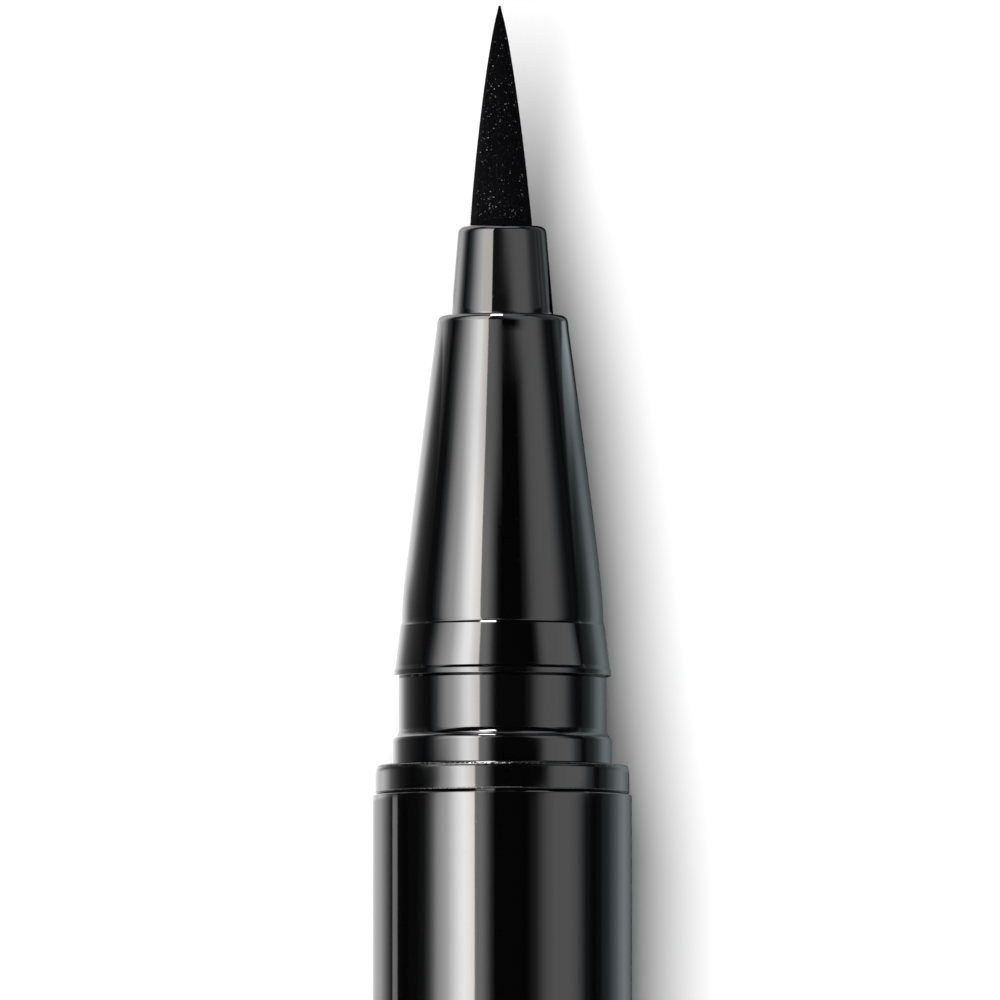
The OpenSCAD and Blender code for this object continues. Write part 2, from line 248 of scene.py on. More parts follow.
# %% [markdown]
# The floor is plain white paper, and the world behind it is white to the camera and to glossy surfaces
# past the studio's ends. To rough surfaces the world gives only the soft fill that keeps the shadow grey.

# %% World and paper
FILL = 0.2
END_GLOW = 0.5
PAPER_WHITE = (0.95, 0.95, 0.95, 1)
FLOOR_SIDE = 3

world = bpy.data.worlds.new("studio_room")
bpy.context.scene.world = world
world.use_nodes = True
sheet = Sheet(world.node_tree)
seen = sheet.add("ShaderNodeLightPath", out="Is Camera Ray")
glow = seen + (1 - seen) * (seen.peer("Is Glossy Ray") * (END_GLOW - FILL) + FILL)
room = sheet.add("ShaderNodeBackground", values={"Color": (1, 1, 1, 1), "Strength": glow})
sheet.add("ShaderNodeOutputWorld", values={"Surface": room})


def stage_mesh(name, corners, faces, material):
    """A plain sheet of the studio, which isn't part of the pen."""
    mesh = bpy.data.meshes.new(name)
    mesh.from_pydata(corners, [], faces)
    mesh.materials.append(material)
    made = placed(name, mesh)
    return made


def level_sheet(name, side, back, front, height, material):
    """A level sheet as wide to the left as to the right."""
    corners = [(-side, back, height), (side, back, height), (side, front, height), (-side, front, height)]
    return stage_mesh(name, corners, [(0, 1, 2, 3)], material)


paper, sheet = new_material("white_paper")
sheet.surface("ShaderNodeBsdfDiffuse", {"Color": PAPER_WHITE})
floor = level_sheet("paper_floor", FLOOR_SIDE, -FLOOR_SIDE, FLOOR_SIDE, SHEET_TOP, paper)
floor.visible_glossy = False
print("paper laid")

# %% [markdown]
# A gloss-black pen shows nothing but its surroundings, so the studio is what gives it its look. A tunnel
# of light stands over it that only glossy surfaces see. Going round from left to right it has a large
# soft box that grows brighter towards its sharp right edge, a dim strip beside it, darkness overhead, and
# a weaker soft box on the right. The boxes differ a little over the barrel, the collar, the neck and the
# cone's rear and front. Past the pen's point the tunnel goes dark. Further ahead hangs a hard narrow lamp:
# only the small roundings that face forward mirror it, and it gives them their white ticks. Still further
# ahead the boxes come back for the roundings that lean forward more.
#
# Each light is noted by the direction in which the pen's surface mirrors it, in degrees from overhead.
# The tunnel is close, so a ray that starts at the surface meets it a few degrees short of its direction.
# For that the surface is taken as a rod, whose radius goes with each set of lights.

# %% The tunnel of light
TUNNEL_R = 60.0
TUNNEL_BACK, TUNNEL_FRONT = -0.40, 0.50
WARM, NEUTRAL, COOL = (1.0, 0.962, 0.925), (1.0, 1.0, 1.0), (0.88, 0.96, 1.0)
LAMP_PEAK = 60.0

# mirrored direction, radiance and, where it isn't neutral, tint
BARREL_LIGHTS = [
    (-82, 0.02, COOL), (-74, 0.12, COOL), (-69, 0.7), (-65, 2.0), (-60, 5.1), (-50, 8.7), (-40, 16.7),
    (-34, 20.0), (-28, 18.4, WARM), (-24.9, 16.6, WARM), (-24.7, 3.75, WARM), (-18, 3.1), (-14, 1.65),
    (-10, 0.42), (-6.5, 0), (22, 0), (30, 0.22), (35, 0.82), (40, 1.45), (48, 1.88), (61, 1.88), (70, 1.4),
    (75, 0.76, COOL), (80, 0.15, COOL), (88, 0.02, COOL)]
COLLAR_LIGHTS = [
    (-77, 0.02, COOL), (-69, 0.1, COOL), (-64, 0.7), (-60.5, 1.9), (-56, 4.4), (-49, 7.8), (-41, 15.5),
    (-36, 17.8), (-30, 15.5, WARM), (-24.9, 12.8, WARM), (-24.7, 3.75, WARM), (-18, 3.0), (-14, 1.45),
    (-10, 0.3), (-6.5, 0), (35, 0), (40, 0.25), (44, 1.0), (49, 1.7), (56, 1.88), (75, 1.88),
    (80, 1.45, COOL), (85, 0.65, COOL), (91, 0.25, COOL), (96, 0.1, COOL)]
NECK_LIGHTS = [
    (-88, 0.05, COOL), (-84, 0.2, COOL), (-78, 0.75, COOL), (-70, 3.3), (-64, 5.3), (-58, 6.3), (-50, 9.6),
    (-43, 14.4), (-37, 16.6), (-30, 14.4, WARM), (-24.9, 12.4, WARM), (-24.7, 3.6, WARM), (-18, 2.85),
    (-14, 1.45), (-10, 0.3), (-6.5, 0.02), (24, 0.02), (31, 0.2), (36, 0.75), (41, 1.35), (49, 1.85),
    (64, 1.85), (73, 1.4), (78, 0.75, COOL), (84, 0.2, COOL), (90, 0.05, COOL)]
CONE_REAR_LIGHTS = [
    (-88, 0.05, COOL), (-84, 0.2, COOL), (-78, 0.75, COOL), (-70, 3.4), (-64, 5.4), (-58, 6.7), (-50, 11.0),
    (-43, 16.8), (-37, 19.6), (-30, 17.4, WARM), (-24.9, 15.6, WARM), (-24.7, 3.8, WARM), (-18, 3.2),
    (-14, 2.2), (-10, 1.05), (-5, 0.1), (-1, 0), (21, 0), (27, 0.27), (31, 0.72), (35, 1.3), (41, 1.7),
    (49, 1.88), (60, 1.85), (67, 1.35), (73, 0.75, COOL), (78, 0.3, COOL), (84, 0.08, COOL)]
CONE_LIGHTS = [
    (-92, 0.1, COOL), (-84, 0.55, COOL), (-77, 1.6), (-70, 3.6), (-60, 7.0), (-50, 12.4), (-42, 16.4),
    (-36, 16.8), (-30, 13.4, WARM), (-24.0, 11.0, WARM), (-23.8, 2.5, WARM), (-16, 2.3), (-10, 1.85),
    (-5, 1.1), (0, 0.4), (5, 0.15), (10, 0.15), (15, 0.34), (20, 0.62), (25, 1.27), (31, 1.72), (38, 1.85),
    (54, 1.85), (61, 1.45), (70, 0.42, COOL), (76, 0.1, COOL), (86, 0.03, COOL)]
FORWARD_LIGHTS = [
    (-90, 0.4, COOL), (-78, 0.9, COOL), (-70, 3.3), (-58, 6.3), (-43, 14.0), (-37, 15.5),
    (-24.9, 12.4, WARM), (-24.7, 2.6, WARM), (-16, 2.0), (-9, 0.1), (26, 0.1), (40, 1.6), (62, 1.9, COOL),
    (90, 2.2, COOL)]
LAMP_LIGHTS = [(-31, 0), (-29, LAMP_PEAK), (-10, LAMP_PEAK), (-8, 0)]
RIDGE_LIGHTS = [
    (-93, 0.03, COOL), (-87, 0.15, COOL), (-82, 0.75, COOL), (-78, 1.7), (-70, 4.3), (-64, 6.0), (-58, 7.6),
    (-50, 13.2), (-43, 18.2), (-37, 19.2), (-31, 15.5, WARM), (-24.9, 12.5, WARM), (-24.7, 3.4, WARM),
    (-18, 3.1), (-14, 2.0), (-10, 0.45), (-6, 0.05), (0, 0), (33, 0), (38, 0.25), (43, 1.2), (49, 1.85),
    (80, 1.85), (85, 1.4, COOL), (90, 0.6, COOL), (93, 0.2, COOL)]
HOLDER_LEFT_BOX = [
    (-104, 0.05, COOL), (-94, 0.15, COOL), (-86, 0.5, COOL), (-80, 1.15, COOL), (-70, 3.7), (-60, 6.9),
    (-48, 10.2), (-38, 10.4, WARM), (-24.2, 10.0, WARM), (-23.6, 0.1)]
HOLDER_RIGHT_BOX = [
    (52, 1.85), (61, 1.75), (69, 1.1, COOL), (78, 0.48, COOL), (90, 0.32, COOL), (104, 0.6, COOL)]
HOLDER_REAR_LIGHTS = [
    *HOLDER_LEFT_BOX, (-8, 0.09), (3, 0.1), (9, 0.18), (14, 0.38), (20, 0.85), (27, 1.45), (35, 1.85),
    *HOLDER_RIGHT_BOX]
HOLDER_FRONT_LIGHTS = [
    *HOLDER_LEFT_BOX, (-9, 0.13), (0, 0.55), (8, 1.4), (16, 1.85), (24, 1.95), *HOLDER_RIGHT_BOX]


def met_at(direction, radius, far):
    """Where a ray mirrored by a rod meets a tunnel round it, in degrees from overhead."""
    turn = math.radians(direction / 2)
    run = -radius * math.cos(turn) + math.sqrt(far ** 2 - (radius * math.sin(turn)) ** 2)
    x = radius * math.sin(turn) + run * math.sin(2 * turn)
    z = radius * math.cos(turn) + run * math.cos(2 * turn)
    return math.degrees(math.atan2(x, z))


def light_ramp(sheet, angle, lights, radius, far):
    """A ramp round the tunnel with the lights that a rod of this radius mirrors."""
    stops = []
    for direction, radiance, *tint in lights:
        place = (met_at(direction, radius, far) + 90) / 180
        stops.append((place, tuple(radiance / LAMP_PEAK * part for part in (tint[0] if tint else NEUTRAL))))
    return sheet.add("ShaderNodeValToRGB", {"stops": stops}, {0: angle})


def half_tunnel(name, far, back, front, material, steps=96, half=89.9):
    """A tube over the pen, to so many degrees on each side. far is its radius in mm."""
    corners, faces = [], []
    for step in range(steps + 1):
        turn = math.radians(half * (2 * step / steps - 1))
        x, z = far * MM * math.sin(turn), AXIS_Z + far * MM * math.cos(turn)
        corners += [(x, back, z), (x, front, z)]
        if step:
            faces.append((2 * step - 2, 2 * step - 1, 2 * step + 1, 2 * step))
    return stage_mesh(name, corners, faces, material)


def light_material(name):
    """A material that only shines, and the place and the angle from overhead on it."""
    made, sheet = new_material(name)
    height, across, above = sheet.place()
    angle = across.sum("ARCTAN2", across, above) * (1 / math.pi) + 0.5
    return made, sheet, height, across, angle


def shine(sheet, colour, strength=LAMP_PEAK):
    sheet.surface("ShaderNodeEmission", {"Color": colour, "Strength": strength})


def zone(sheet, height, rise, fall):
    """One over a stretch of heights that fades in over the rise and out over the fall."""
    return sheet.step(height, *rise) * (1 - sheet.step(height, *fall))


# the stretch of heights over which each set of lights takes over from the one behind it
TO_COLLAR, TO_REAR, TO_DARK = (1.98, 2.12), (9, 12), (39.5, 42.5)
TO_NECK_EARLY, TO_NECK, EARLY_SHARE = (3.12, 3.27), (4.32, 4.47), 0.6
TO_CONE_LEFT, TO_CONE_RIGHT = (27, 32), (33.7, 36.2)
LAMP_ZONE = (56, 58), (80, 84)
FORWARD_ZONE = (78, 84), (230, 260)
BLACK = (0, 0, 0, 1)

tunnel_light, sheet, height, across, angle = light_material("tunnel_light")
over_barrel, over_collar, over_neck, over_rear, over_cone, ahead, lamp = [
    light_ramp(sheet, angle, lights, radius, TUNNEL_R) for lights, radius in (
        (BARREL_LIGHTS, 5.0), (COLLAR_LIGHTS, 4.6), (NECK_LIGHTS, 4.1), (CONE_REAR_LIGHTS, 3.6),
        (CONE_LIGHTS, 2.7), (FORWARD_LIGHTS, 4.1), (LAMP_LIGHTS, 4.1))]
right = angle > 0.5
colour = sheet.blend(sheet.step(height, *TO_COLLAR), over_barrel, over_collar)
early = sheet.step(height, *TO_NECK_EARLY) * EARLY_SHARE * (1 - right)
to_neck = early + sheet.step(height, *TO_NECK) * (right * EARLY_SHARE + (1 - EARLY_SHARE))
colour = sheet.blend(to_neck, colour, over_neck)
colour = sheet.blend(sheet.step(height, *TO_REAR), colour, over_rear)
on_left = sheet.step(height, *TO_CONE_LEFT, smooth=False) * (1 - right)
to_cone = on_left + sheet.step(height, *TO_CONE_RIGHT, smooth=False) * right
colour = sheet.blend(to_cone, colour, over_cone)
colour = sheet.blend(sheet.step(height, *TO_DARK), colour, BLACK)
colour = sheet.blend(zone(sheet, height, *FORWARD_ZONE), colour, ahead)
colour = sheet.blend(zone(sheet, height, *LAMP_ZONE), colour, lamp, "ADD")
shine(sheet, colour)
tunnel = half_tunnel("light_tunnel", TUNNEL_R, TUNNEL_BACK, TUNNEL_FRONT, tunnel_light)

# %% [markdown]
# The tip holder mirrors other surroundings than its neighbours do: one even warm box on the left, black in
# the middle, and a box that starts nearly overhead. So it gets a small tunnel of its own. That runs on far
# ahead, black and then faintly grey, for the rounding at the holder's front.

# %% The card over the tip holder
HOLDER_CARD_R = 7.5
HOLDER_CARD_BACK, HOLDER_CARD_FRONT = 19.8, 120
REAR_ROD_R, FRONT_ROD_R = 1.9, 1.75
HOLDER_TO_FRONT, HOLDER_TO_DARK, HOLDER_TO_GREY = (20.3, 23.9), (26.6, 28.6), (34, 37)
AHEAD_GREY = (0.062, 0.062, 0.068, 1)

holder_light, sheet, height, across, angle = light_material("holder_light")
over_rear = light_ramp(sheet, angle, HOLDER_REAR_LIGHTS, REAR_ROD_R, HOLDER_CARD_R)
over_front = light_ramp(sheet, angle, HOLDER_FRONT_LIGHTS, FRONT_ROD_R, HOLDER_CARD_R)
colour = sheet.blend(sheet.step(height, *HOLDER_TO_FRONT, smooth=False), over_rear, over_front)
colour = sheet.blend(sheet.step(height, *HOLDER_TO_DARK), colour, BLACK)
colour = sheet.blend(sheet.step(height, *HOLDER_TO_GREY), colour, AHEAD_GREY)
shine(sheet, colour)
holder_card = half_tunnel("holder_card", HOLDER_CARD_R, along(HOLDER_CARD_BACK), along(HOLDER_CARD_FRONT),
                          holder_light, steps=48)

# %% [markdown]
# The snap ridge has the right box further down its flank than its neighbours have it, so a close card
# over the ridge alone carries its lights. It ends where the flanks begin to mirror the paper.

# %% The card over the snap ridge
RIDGE_CARD_R = 4.3
RIDGE_CARD_BACK, RIDGE_CARD_FRONT = 5.02, 6.66
RIDGE_ROD_R = 4.08
RIDGE_LAST_LIGHT = 93

ridge_light, sheet, height, across, angle = light_material("ridge_light")
colour = light_ramp(sheet, angle, RIDGE_LIGHTS, RIDGE_ROD_R, RIDGE_CARD_R)
shine(sheet, colour)
ridge_card = half_tunnel("ridge_card", RIDGE_CARD_R, along(RIDGE_CARD_BACK), along(RIDGE_CARD_FRONT),
                         ridge_light, steps=64, half=met_at(RIDGE_LAST_LIGHT, RIDGE_ROD_R, RIDGE_CARD_R))

# %% [markdown]
# The cone's front edge has one white tick. A tiny lamp stands ahead of it, just over the holder. It has a
# grid before it, so that it shines straight back only and the holder under it mirrors nothing of it.

# %% The grid lamp
GRID_GLOW, GRID_NARROWS = 40, 5
GRID_HEIGHT = 19.55
GRID_LEFT, GRID_RIGHT = -15, 0.5
GRID_LOW, GRID_HIGH = 2.1, 2.9

grid_light, sheet = new_material("grid_light")
facing = sheet.add("ShaderNodeLayerWeight", values={"Blend": 0.5}, out="Facing")
beam = sheet.add("ShaderNodeEmission", values={"Strength": GRID_GLOW * (1 - facing) ** GRID_NARROWS})
clear = sheet.add("ShaderNodeBsdfTransparent")
sheet.surface("ShaderNodeAddShader", {0: beam, 1: clear})
corners = []
for side, ends in ((GRID_LEFT, (GRID_LOW, GRID_HIGH)), (GRID_RIGHT, (GRID_HIGH, GRID_LOW))):
    for out in ends:
        x, z = out * math.sin(math.radians(side)), out * math.cos(math.radians(side))
        corners.append((x * MM, along(GRID_HEIGHT), AXIS_Z + z * MM))
grid_lamp = stage_mesh("grid_lamp", corners, [(0, 1, 2, 3)], grid_light)

# %% [markdown]
# The pen's lower flanks mirror the paper beside it. What they show is a second sheet just over the floor,
# which only glossy surfaces see, with its own light for each piece that mirrors it: a painted reflection of
# the paper, with the pen's shadow painted in as low light right beside the pen, deepest on the right. The
# camera leans, so the zones run forward a little with the distance to the side.

# %% The paper's painted reflection, as the flanks see it
# distance to the side of the axis in mm, radiance
BARREL_LEFT = [
    (5, 0.95), (7, 1.28), (8.5, 1.5), (10.3, 1.8), (13, 1.22), (15, 0.72), (17.3, 0.3), (19.4, 0.03),
    (60, 0.0)]
COLLAR_LEFT = [
    (5, 1.2), (7, 1.65), (8.5, 1.9), (10.3, 2.75), (11.5, 2.6), (13, 2.15), (14.8, 1.4), (16, 0.95),
    (18, 0.7), (23, 0.35), (30, 0.15), (60, 0.05)]
NECK_LEFT = [
    (4.6, 1.6), (5.3, 1.65), (6.0, 1.7), (6.6, 1.95), (7.4, 1.8), (8.2, 1.65), (9.2, 1.12), (10.4, 0.78),
    (11.6, 0.54), (15.6, 0.3), (20, 0.2), (28, 0.12), (60, 0.05)]
CONE_LEFT = [
    (4, 2.0), (5.4, 2.1), (6.7, 2.3), (8.4, 2.5), (9.5, 1.9), (10.8, 1.2), (12.5, 0.75), (14.6, 0.46),
    (19, 0.25), (28, 0.15), (60, 0.05)]
HOLDER_LEFT = [
    (3.5, 1.3), (5, 1.2), (6.5, 2.2), (8.6, 3.0), (10, 2.9), (11.9, 2.4), (14, 1.9), (16.5, 1.3), (22, 0.5),
    (40, 0.2), (60, 0.05)]
BARREL_RIGHT = [
    (5, 0.02), (5.9, 0.02), (6.3, 0.2), (7.05, 0.27), (8.5, 0.6), (10.3, 1.04), (13, 1.08), (17.3, 0.7),
    (25.7, 0.28), (50, 0.12), (60, 0.05)]
NECK_RIGHT = [
    (4, 0.02), (4.5, 0.02), (4.9, 0.15), (5.8, 0.22), (6.7, 0.34), (7.4, 0.47), (8.4, 0.72), (10, 0.92),
    (12, 0.92), (15.6, 0.5), (23, 0.23), (40, 0.15), (60, 0.05)]
CONE_RIGHT = [
    (4, 0.02), (5.0, 0.05), (6, 0.6), (7.4, 1.6), (9.6, 1.75), (13.2, 1.5), (17, 1.4), (20, 1.1), (26, 0.6),
    (40, 0.25), (60, 0.05)]
HOLDER_RIGHT = [
    (4, 0.02), (5, 0.12), (6.5, 0.42), (8.6, 0.62), (10, 0.36), (11.9, 0.25), (17, 0.5), (30, 0.2),
    (60, 0.05)]
PAPER_REACH = 60.0
PAPER_BRIGHTEST = 4.5
PAPER_SEEN = 0.04 * MM
PAPER_SIDE = 0.5
PAPER_SLANT = 0.0387
PAPER_TO_COLLAR, PAPER_TO_NECK, PAPER_TO_RIDGE = (-0.3, -0.24), (0.76, 0.9), (8.2, 10.2)
PAPER_TO_CONE, PAPER_TO_HOLDER = (15, 18.6), (19.25, 19.85)
RIGHT_TINT = (0.86, 1.0, 1.03, 1)
STRIP_FROM, STRIP_TO, STRIP_END, STRIP_GLOW = 20.1, 28.5, 0.278, 1.85

paper_light, sheet, height, across, angle = light_material("paper_light")
reach = across.without_sign()
slant = PAPER_SLANT * reach


def beside(lights):
    """A ramp over the distance to the side."""
    stops = [(side / PAPER_REACH, radiance / PAPER_BRIGHTEST) for side, radiance in lights]
    return sheet.add("ShaderNodeValToRGB", {"stops": stops}, {0: reach / PAPER_REACH})


past_barrel = sheet.step(height - slant, *PAPER_TO_COLLAR)
past_collar = sheet.step(height - slant, *PAPER_TO_NECK)
past_ridge = sheet.step(height, *PAPER_TO_RIDGE)
past_cone = sheet.step(height, *PAPER_TO_HOLDER)
left = sheet.blend(past_barrel, beside(BARREL_LEFT), beside(COLLAR_LEFT))
left = sheet.blend(past_collar, left, beside(NECK_LEFT))
left = sheet.blend(past_cone, sheet.blend(past_ridge, left, beside(CONE_LEFT)), beside(HOLDER_LEFT))
# the barrel alone mirrors a narrow strip of paper further out
in_strip = (reach > STRIP_FROM) * (reach < STRIP_TO) * (height < slant - STRIP_END)
strip = in_strip * (STRIP_GLOW / PAPER_BRIGHTEST)
strip_grey = sheet.add("ShaderNodeCombineColor", values={0: strip, 1: strip, 2: strip})
left = sheet.blend(1.0, left, strip_grey, "ADD")
right = sheet.blend(past_collar, beside(BARREL_RIGHT), beside(NECK_RIGHT))
right = sheet.blend(sheet.step(height, *PAPER_TO_CONE), right, beside(CONE_RIGHT))
right = sheet.blend(1.0, sheet.blend(past_cone, right, beside(HOLDER_RIGHT)), RIGHT_TINT, "MULTIPLY")
shine(sheet, sheet.blend(across > 0, left, right), PAPER_BRIGHTEST)
lit_paper = level_sheet("lit_paper", PAPER_SIDE, TUNNEL_BACK, TUNNEL_FRONT, PAPER_SEEN, paper_light)

# painted shadow: a black sheet for the pen's shadow on the paper, which the holder's right flank mirrors
SHADOW_SHEET_ACROSS = 3.0
SHADOW_SHEET_CORNERS = [(18.85, 4.5), (18.85, 0.3), (21.5, 0.3), (20.4, 3.6)]
painted_shadow_black, sheet = new_material("painted_shadow_black")
shine(sheet, BLACK, 0.0)
corners = [(SHADOW_SHEET_ACROSS * MM, along(height), z * MM) for height, z in SHADOW_SHEET_CORNERS]
dark_flag = stage_mesh("dark_flag", corners, [(0, 1, 2, 3)], painted_shadow_black)

cards = (tunnel, ridge_card, holder_card, grid_lamp, lit_paper, dark_flag)
for card in cards:
    card.visible_camera = False
    card.visible_diffuse = False
    card.visible_shadow = False
    card.visible_transmission = False
print("studio of", len(cards), "cards")

# %% [markdown]
# One soft box overhead, a little to the left, lights the paper and casts the soft shadow on the right.
# It is hidden from glossy surfaces, which already see the tunnel.

# %% Key lamp
KEY_FAR = 0.6
KEY_WIDE, KEY_LONG = 0.33, 0.9
KEY_WATTS = 5.1
KEY_TURN = math.radians(14)

key = placed("key_lamp", bpy.data.lights.new("key_lamp", "AREA"))
key.data.shape = "RECTANGLE"
key.data.size, key.data.size_y = KEY_WIDE, KEY_LONG
key.data.energy = KEY_WATTS
key.location = (-KEY_FAR * math.sin(KEY_TURN), AIM[1], AXIS_Z + KEY_FAR * math.cos(KEY_TURN))
key.rotation_euler = (0, -KEY_TURN, 0)
key.visible_glossy = False
key.visible_camera = False

# %% [markdown]
# A turned piece is an outline swung round the axis. Each corner of the outline is a height, a radius and,
# where the mould has one, a rounding. The rounding becomes a short arc. On either side of it goes one
# guard point, two hundredths of a millimetre away, which stops the smooth shading of the arc from
# smearing over the long straight wall beside it.

# %% Turned pieces
ARC_STEPS = 8
GUARD = 0.02
SHARP = math.radians(32)
ON_AXIS = 1e-6


def rounded(before, corner, after, radius):
    """The points that round one corner of an outline, with their guards."""
    to_a = (before[0] - corner[0], before[1] - corner[1])
    to_b = (after[0] - corner[0], after[1] - corner[1])
    far_a, far_b = math.hypot(*to_a), math.hypot(*to_b)
    unit_a = (to_a[0] / far_a, to_a[1] / far_a)
    unit_b = (to_b[0] / far_b, to_b[1] / far_b)
    half = math.acos(max(-1.0, min(1.0, unit_a[0] * unit_b[0] + unit_a[1] * unit_b[1]))) / 2
    reach = radius / math.tan(half)
    middle = (unit_a[0] + unit_b[0], unit_a[1] + unit_b[1])
    scale = radius / math.sin(half) / math.hypot(*middle)
    centre = (corner[0] + middle[0] * scale, corner[1] + middle[1] * scale)
    first = (corner[0] + unit_a[0] * reach, corner[1] + unit_a[1] * reach)
    last = (corner[0] + unit_b[0] * reach, corner[1] + unit_b[1] * reach)
    start = math.atan2(first[1] - centre[1], first[0] - centre[0])
    swing = math.atan2(last[1] - centre[1], last[0] - centre[0]) - start
    swing = (swing + math.pi) % (2 * math.pi) - math.pi
    arc = [(centre[0] + radius * math.cos(start + swing * k / ARC_STEPS),
            centre[1] + radius * math.sin(start + swing * k / ARC_STEPS)) for k in range(ARC_STEPS + 1)]
    if far_a > reach + 2 * GUARD:
        arc.insert(0, tuple(corner[i] + unit_a[i] * (reach + GUARD) for i in (0, 1)))
    if far_b > reach + 2 * GUARD:
        arc.append(tuple(corner[i] + unit_b[i] * (reach + GUARD) for i in (0, 1)))
    return arc


def outline(corners):
    """Corners (height, radius[, rounding]) in mm as a closed line of points."""
    points = []
    for i, corner in enumerate(corners):
        radius = corner[2] if len(corner) > 2 else 0
        if radius:
            points += rounded(corners[i - 1], corner, corners[(i + 1) % len(corners)], radius)
        else:
            points.append(corner[:2])
    return points


def turned(name, corners, around=256):
    """A closed solid of revolution round the pen's axis."""
    points = outline(corners)
    mesh = bpy.data.meshes.new(name)
    shape = bmesh.new()
    rings = []
    for height, radius in points:
        if radius < ON_AXIS:
            rings.append([shape.verts.new((0, along(height), AXIS_Z))])
            continue
        ring = []
        for k in range(around):
            turn = 2 * math.pi * k / around
            x, z = radius * MM * math.sin(turn), AXIS_Z + radius * MM * math.cos(turn)
            ring.append(shape.verts.new((x, along(height), z)))
        rings.append(ring)
    for i, ring in enumerate(rings):
        after = rings[(i + 1) % len(rings)]
        if len(ring) == 1 and len(after) == 1:
            continue
        for k in range(around):
            n = (k + 1) % around
            if len(ring) == 1:
                shape.faces.new((ring[0], after[k], after[n]))
            elif len(after) == 1:
                shape.faces.new((ring[k], ring[n], after[0]))
            else:
                shape.faces.new((ring[k], ring[n], after[n], after[k]))
    bmesh.ops.recalc_face_normals(shape, faces=shape.faces[:])
    shape.to_mesh(mesh)
    shape.free()
    mesh.shade_smooth()
    mesh.set_sharp_from_angle(angle=SHARP)
    made = placed(name, mesh)
    print(name, "turned,", len(mesh.polygons), "faces")
    return made


def fitted(piece, body, slot, material, *replaced):
    """Gives a piece its material and its body, and hides the CAD parts that it replaces."""
    piece.data.materials.clear()
    piece.data.materials.append(material)
    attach(piece, body)
    if replaced:
        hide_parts(*replaced)


# %% [markdown]
# The shell of the barrel and the cap is lacquered in a mirror gloss. Such a skin is never quite flat:
# it has a faint orange peel, hairline marks from being wiped along and round, and specks of dust. They are
# kept so small that they only break up the glints.

# %% Gloss finishes
GLOSS_BLACK = (0.0012, 0.0012, 0.0014)
PEEL_RISE = 0.001
HAIR_SHARE = 0.12
SMUDGE_ROUGH, SPECK_ROUGH = 0.02, 0.1
RIM_RELIEF = 25


def lighter(colour, times):
    return tuple(part * times for part in colour) + (1,)


def gloss_material(name, rough, peel, marks, rims=()):
    """Black gloss plastic. rims are (height, width) bands in mm where the edge's glint is broken up."""
    made, sheet = new_material(name)
    height = sheet.place()[0]
    skin = sheet.noise(1.6, detail=1.0)
    hairs = sheet.noise(9.0, detail=3.0, stretch=(1, 0.02, 1), roughness=0.6)
    smudge = sheet.noise(0.12, detail=2.0, stretch=(1, 0.35, 1))
    specks = sheet.step(sheet.noise(7.0, detail=0.0), 0.80, 0.86)
    worn = rough + (marks * sheet.step(hairs, 0.5, 0.8) + SMUDGE_ROUGH * sheet.step(smudge, 0.45, 0.7))
    relief = skin * peel + hairs * (peel * HAIR_SHARE)
    for middle, width in rims:
        here = 1 - sheet.step((height - middle).without_sign(), width * 0.4, width)
        relief = relief + sheet.noise(9.0, detail=2.0, stretch=(1, 0.5, 1)) * here * RIM_RELIEF
    sheet.surface("ShaderNodeBsdfPrincipled", {
        "Base Color": sheet.blend(smudge, (*GLOSS_BLACK, 1), lighter(GLOSS_BLACK, 1.25)),
        "Roughness": worn + SPECK_ROUGH * specks, "IOR": 1.5, "Normal": sheet.bump(relief, PEEL_RISE)})
    return made


COLLAR_RIMS = [(0.12, 0.03), (1.08, 0.05)]
shell_gloss = gloss_material("shell_gloss_black", 0.04, 0.3, 0.02)
collar_gloss = gloss_material("collar_gloss_black", 0.05, 0.4, 0.03, COLLAR_RIMS)
section_gloss = gloss_material("section_gloss_black", 0.05, 0.4, 0.03)
cone_gloss = gloss_material("cone_gloss_black", 0.045, 0.4, 0.025)
print("gloss finishes made")

# %% [markdown]
# The barrel's outer shell is a thin tube, slipped over the ink tank from the front. Its front rim is
# almost sharp, which gives the crisp line in front of the shine, and its rear rim is well rounded.

# %% Barrel shell
BARREL_R, BARREL_BORE = 5.0, 4.45
barrel_shell = turned("barrel_shell", [
    (MOUTH, BARREL_BORE, 0.05), (MOUTH, BARREL_R, 0.3), (-0.035, BARREL_R, 0.01), (0, BARREL_R - 0.03),
    (0, BARREL_BORE, 0.05)])
fitted(barrel_shell, "pen", "shell_gloss_black", shell_gloss, "barrel_sleeve")

# %% [markdown]
# The tank that holds the ink is the tube inside. Its collar shows ahead of the barrel as a band that is
# a tenth of a millimetre lower, with a slanted edge at its rear and a softer one in front.

# %% Ink tank with its collar
TANK_R, TANK_MOUTH, CHAMBER_R, TANK_LEN = 4.43, 3.78, 3.33, 66
COLLAR_R, COLLAR_LEN = 4.905, 1.1
PLUG_BACK = -15.82
tank_tube = turned("tank_tube", [
    (-TANK_LEN, CHAMBER_R, 0.05), (-TANK_LEN, TANK_R, 0.05), (0, TANK_R), (0, COLLAR_R - 0.055),
    (0.11, COLLAR_R, 0.01), (COLLAR_LEN - 0.12, COLLAR_R, 0.02), (COLLAR_LEN - 0.015, COLLAR_R - 0.038),
    (COLLAR_LEN + 0.04, COLLAR_R - 0.062), (COLLAR_LEN, TANK_MOUTH, 0.05), (PLUG_BACK, TANK_MOUTH),
    (PLUG_BACK - 0.45, CHAMBER_R)])
fitted(tank_tube, "pen", "section_gloss_black", collar_gloss, "ink_tank")

# %% [markdown]
# The section is pressed into the tank and carries the front end. From the collar on it has the step ring
# that fills the cap's mouth, the neck, and the snap ridge whose lip holds the cap's bead. The white ticks
# and the fine lines across the pen are what its edges mirror, so the step's two slants, the lip's rounding
# and the small step ahead of the lip are modelled and not left to a bump. A point just behind a slant keeps
# the smooth shading off the long wall beside it.

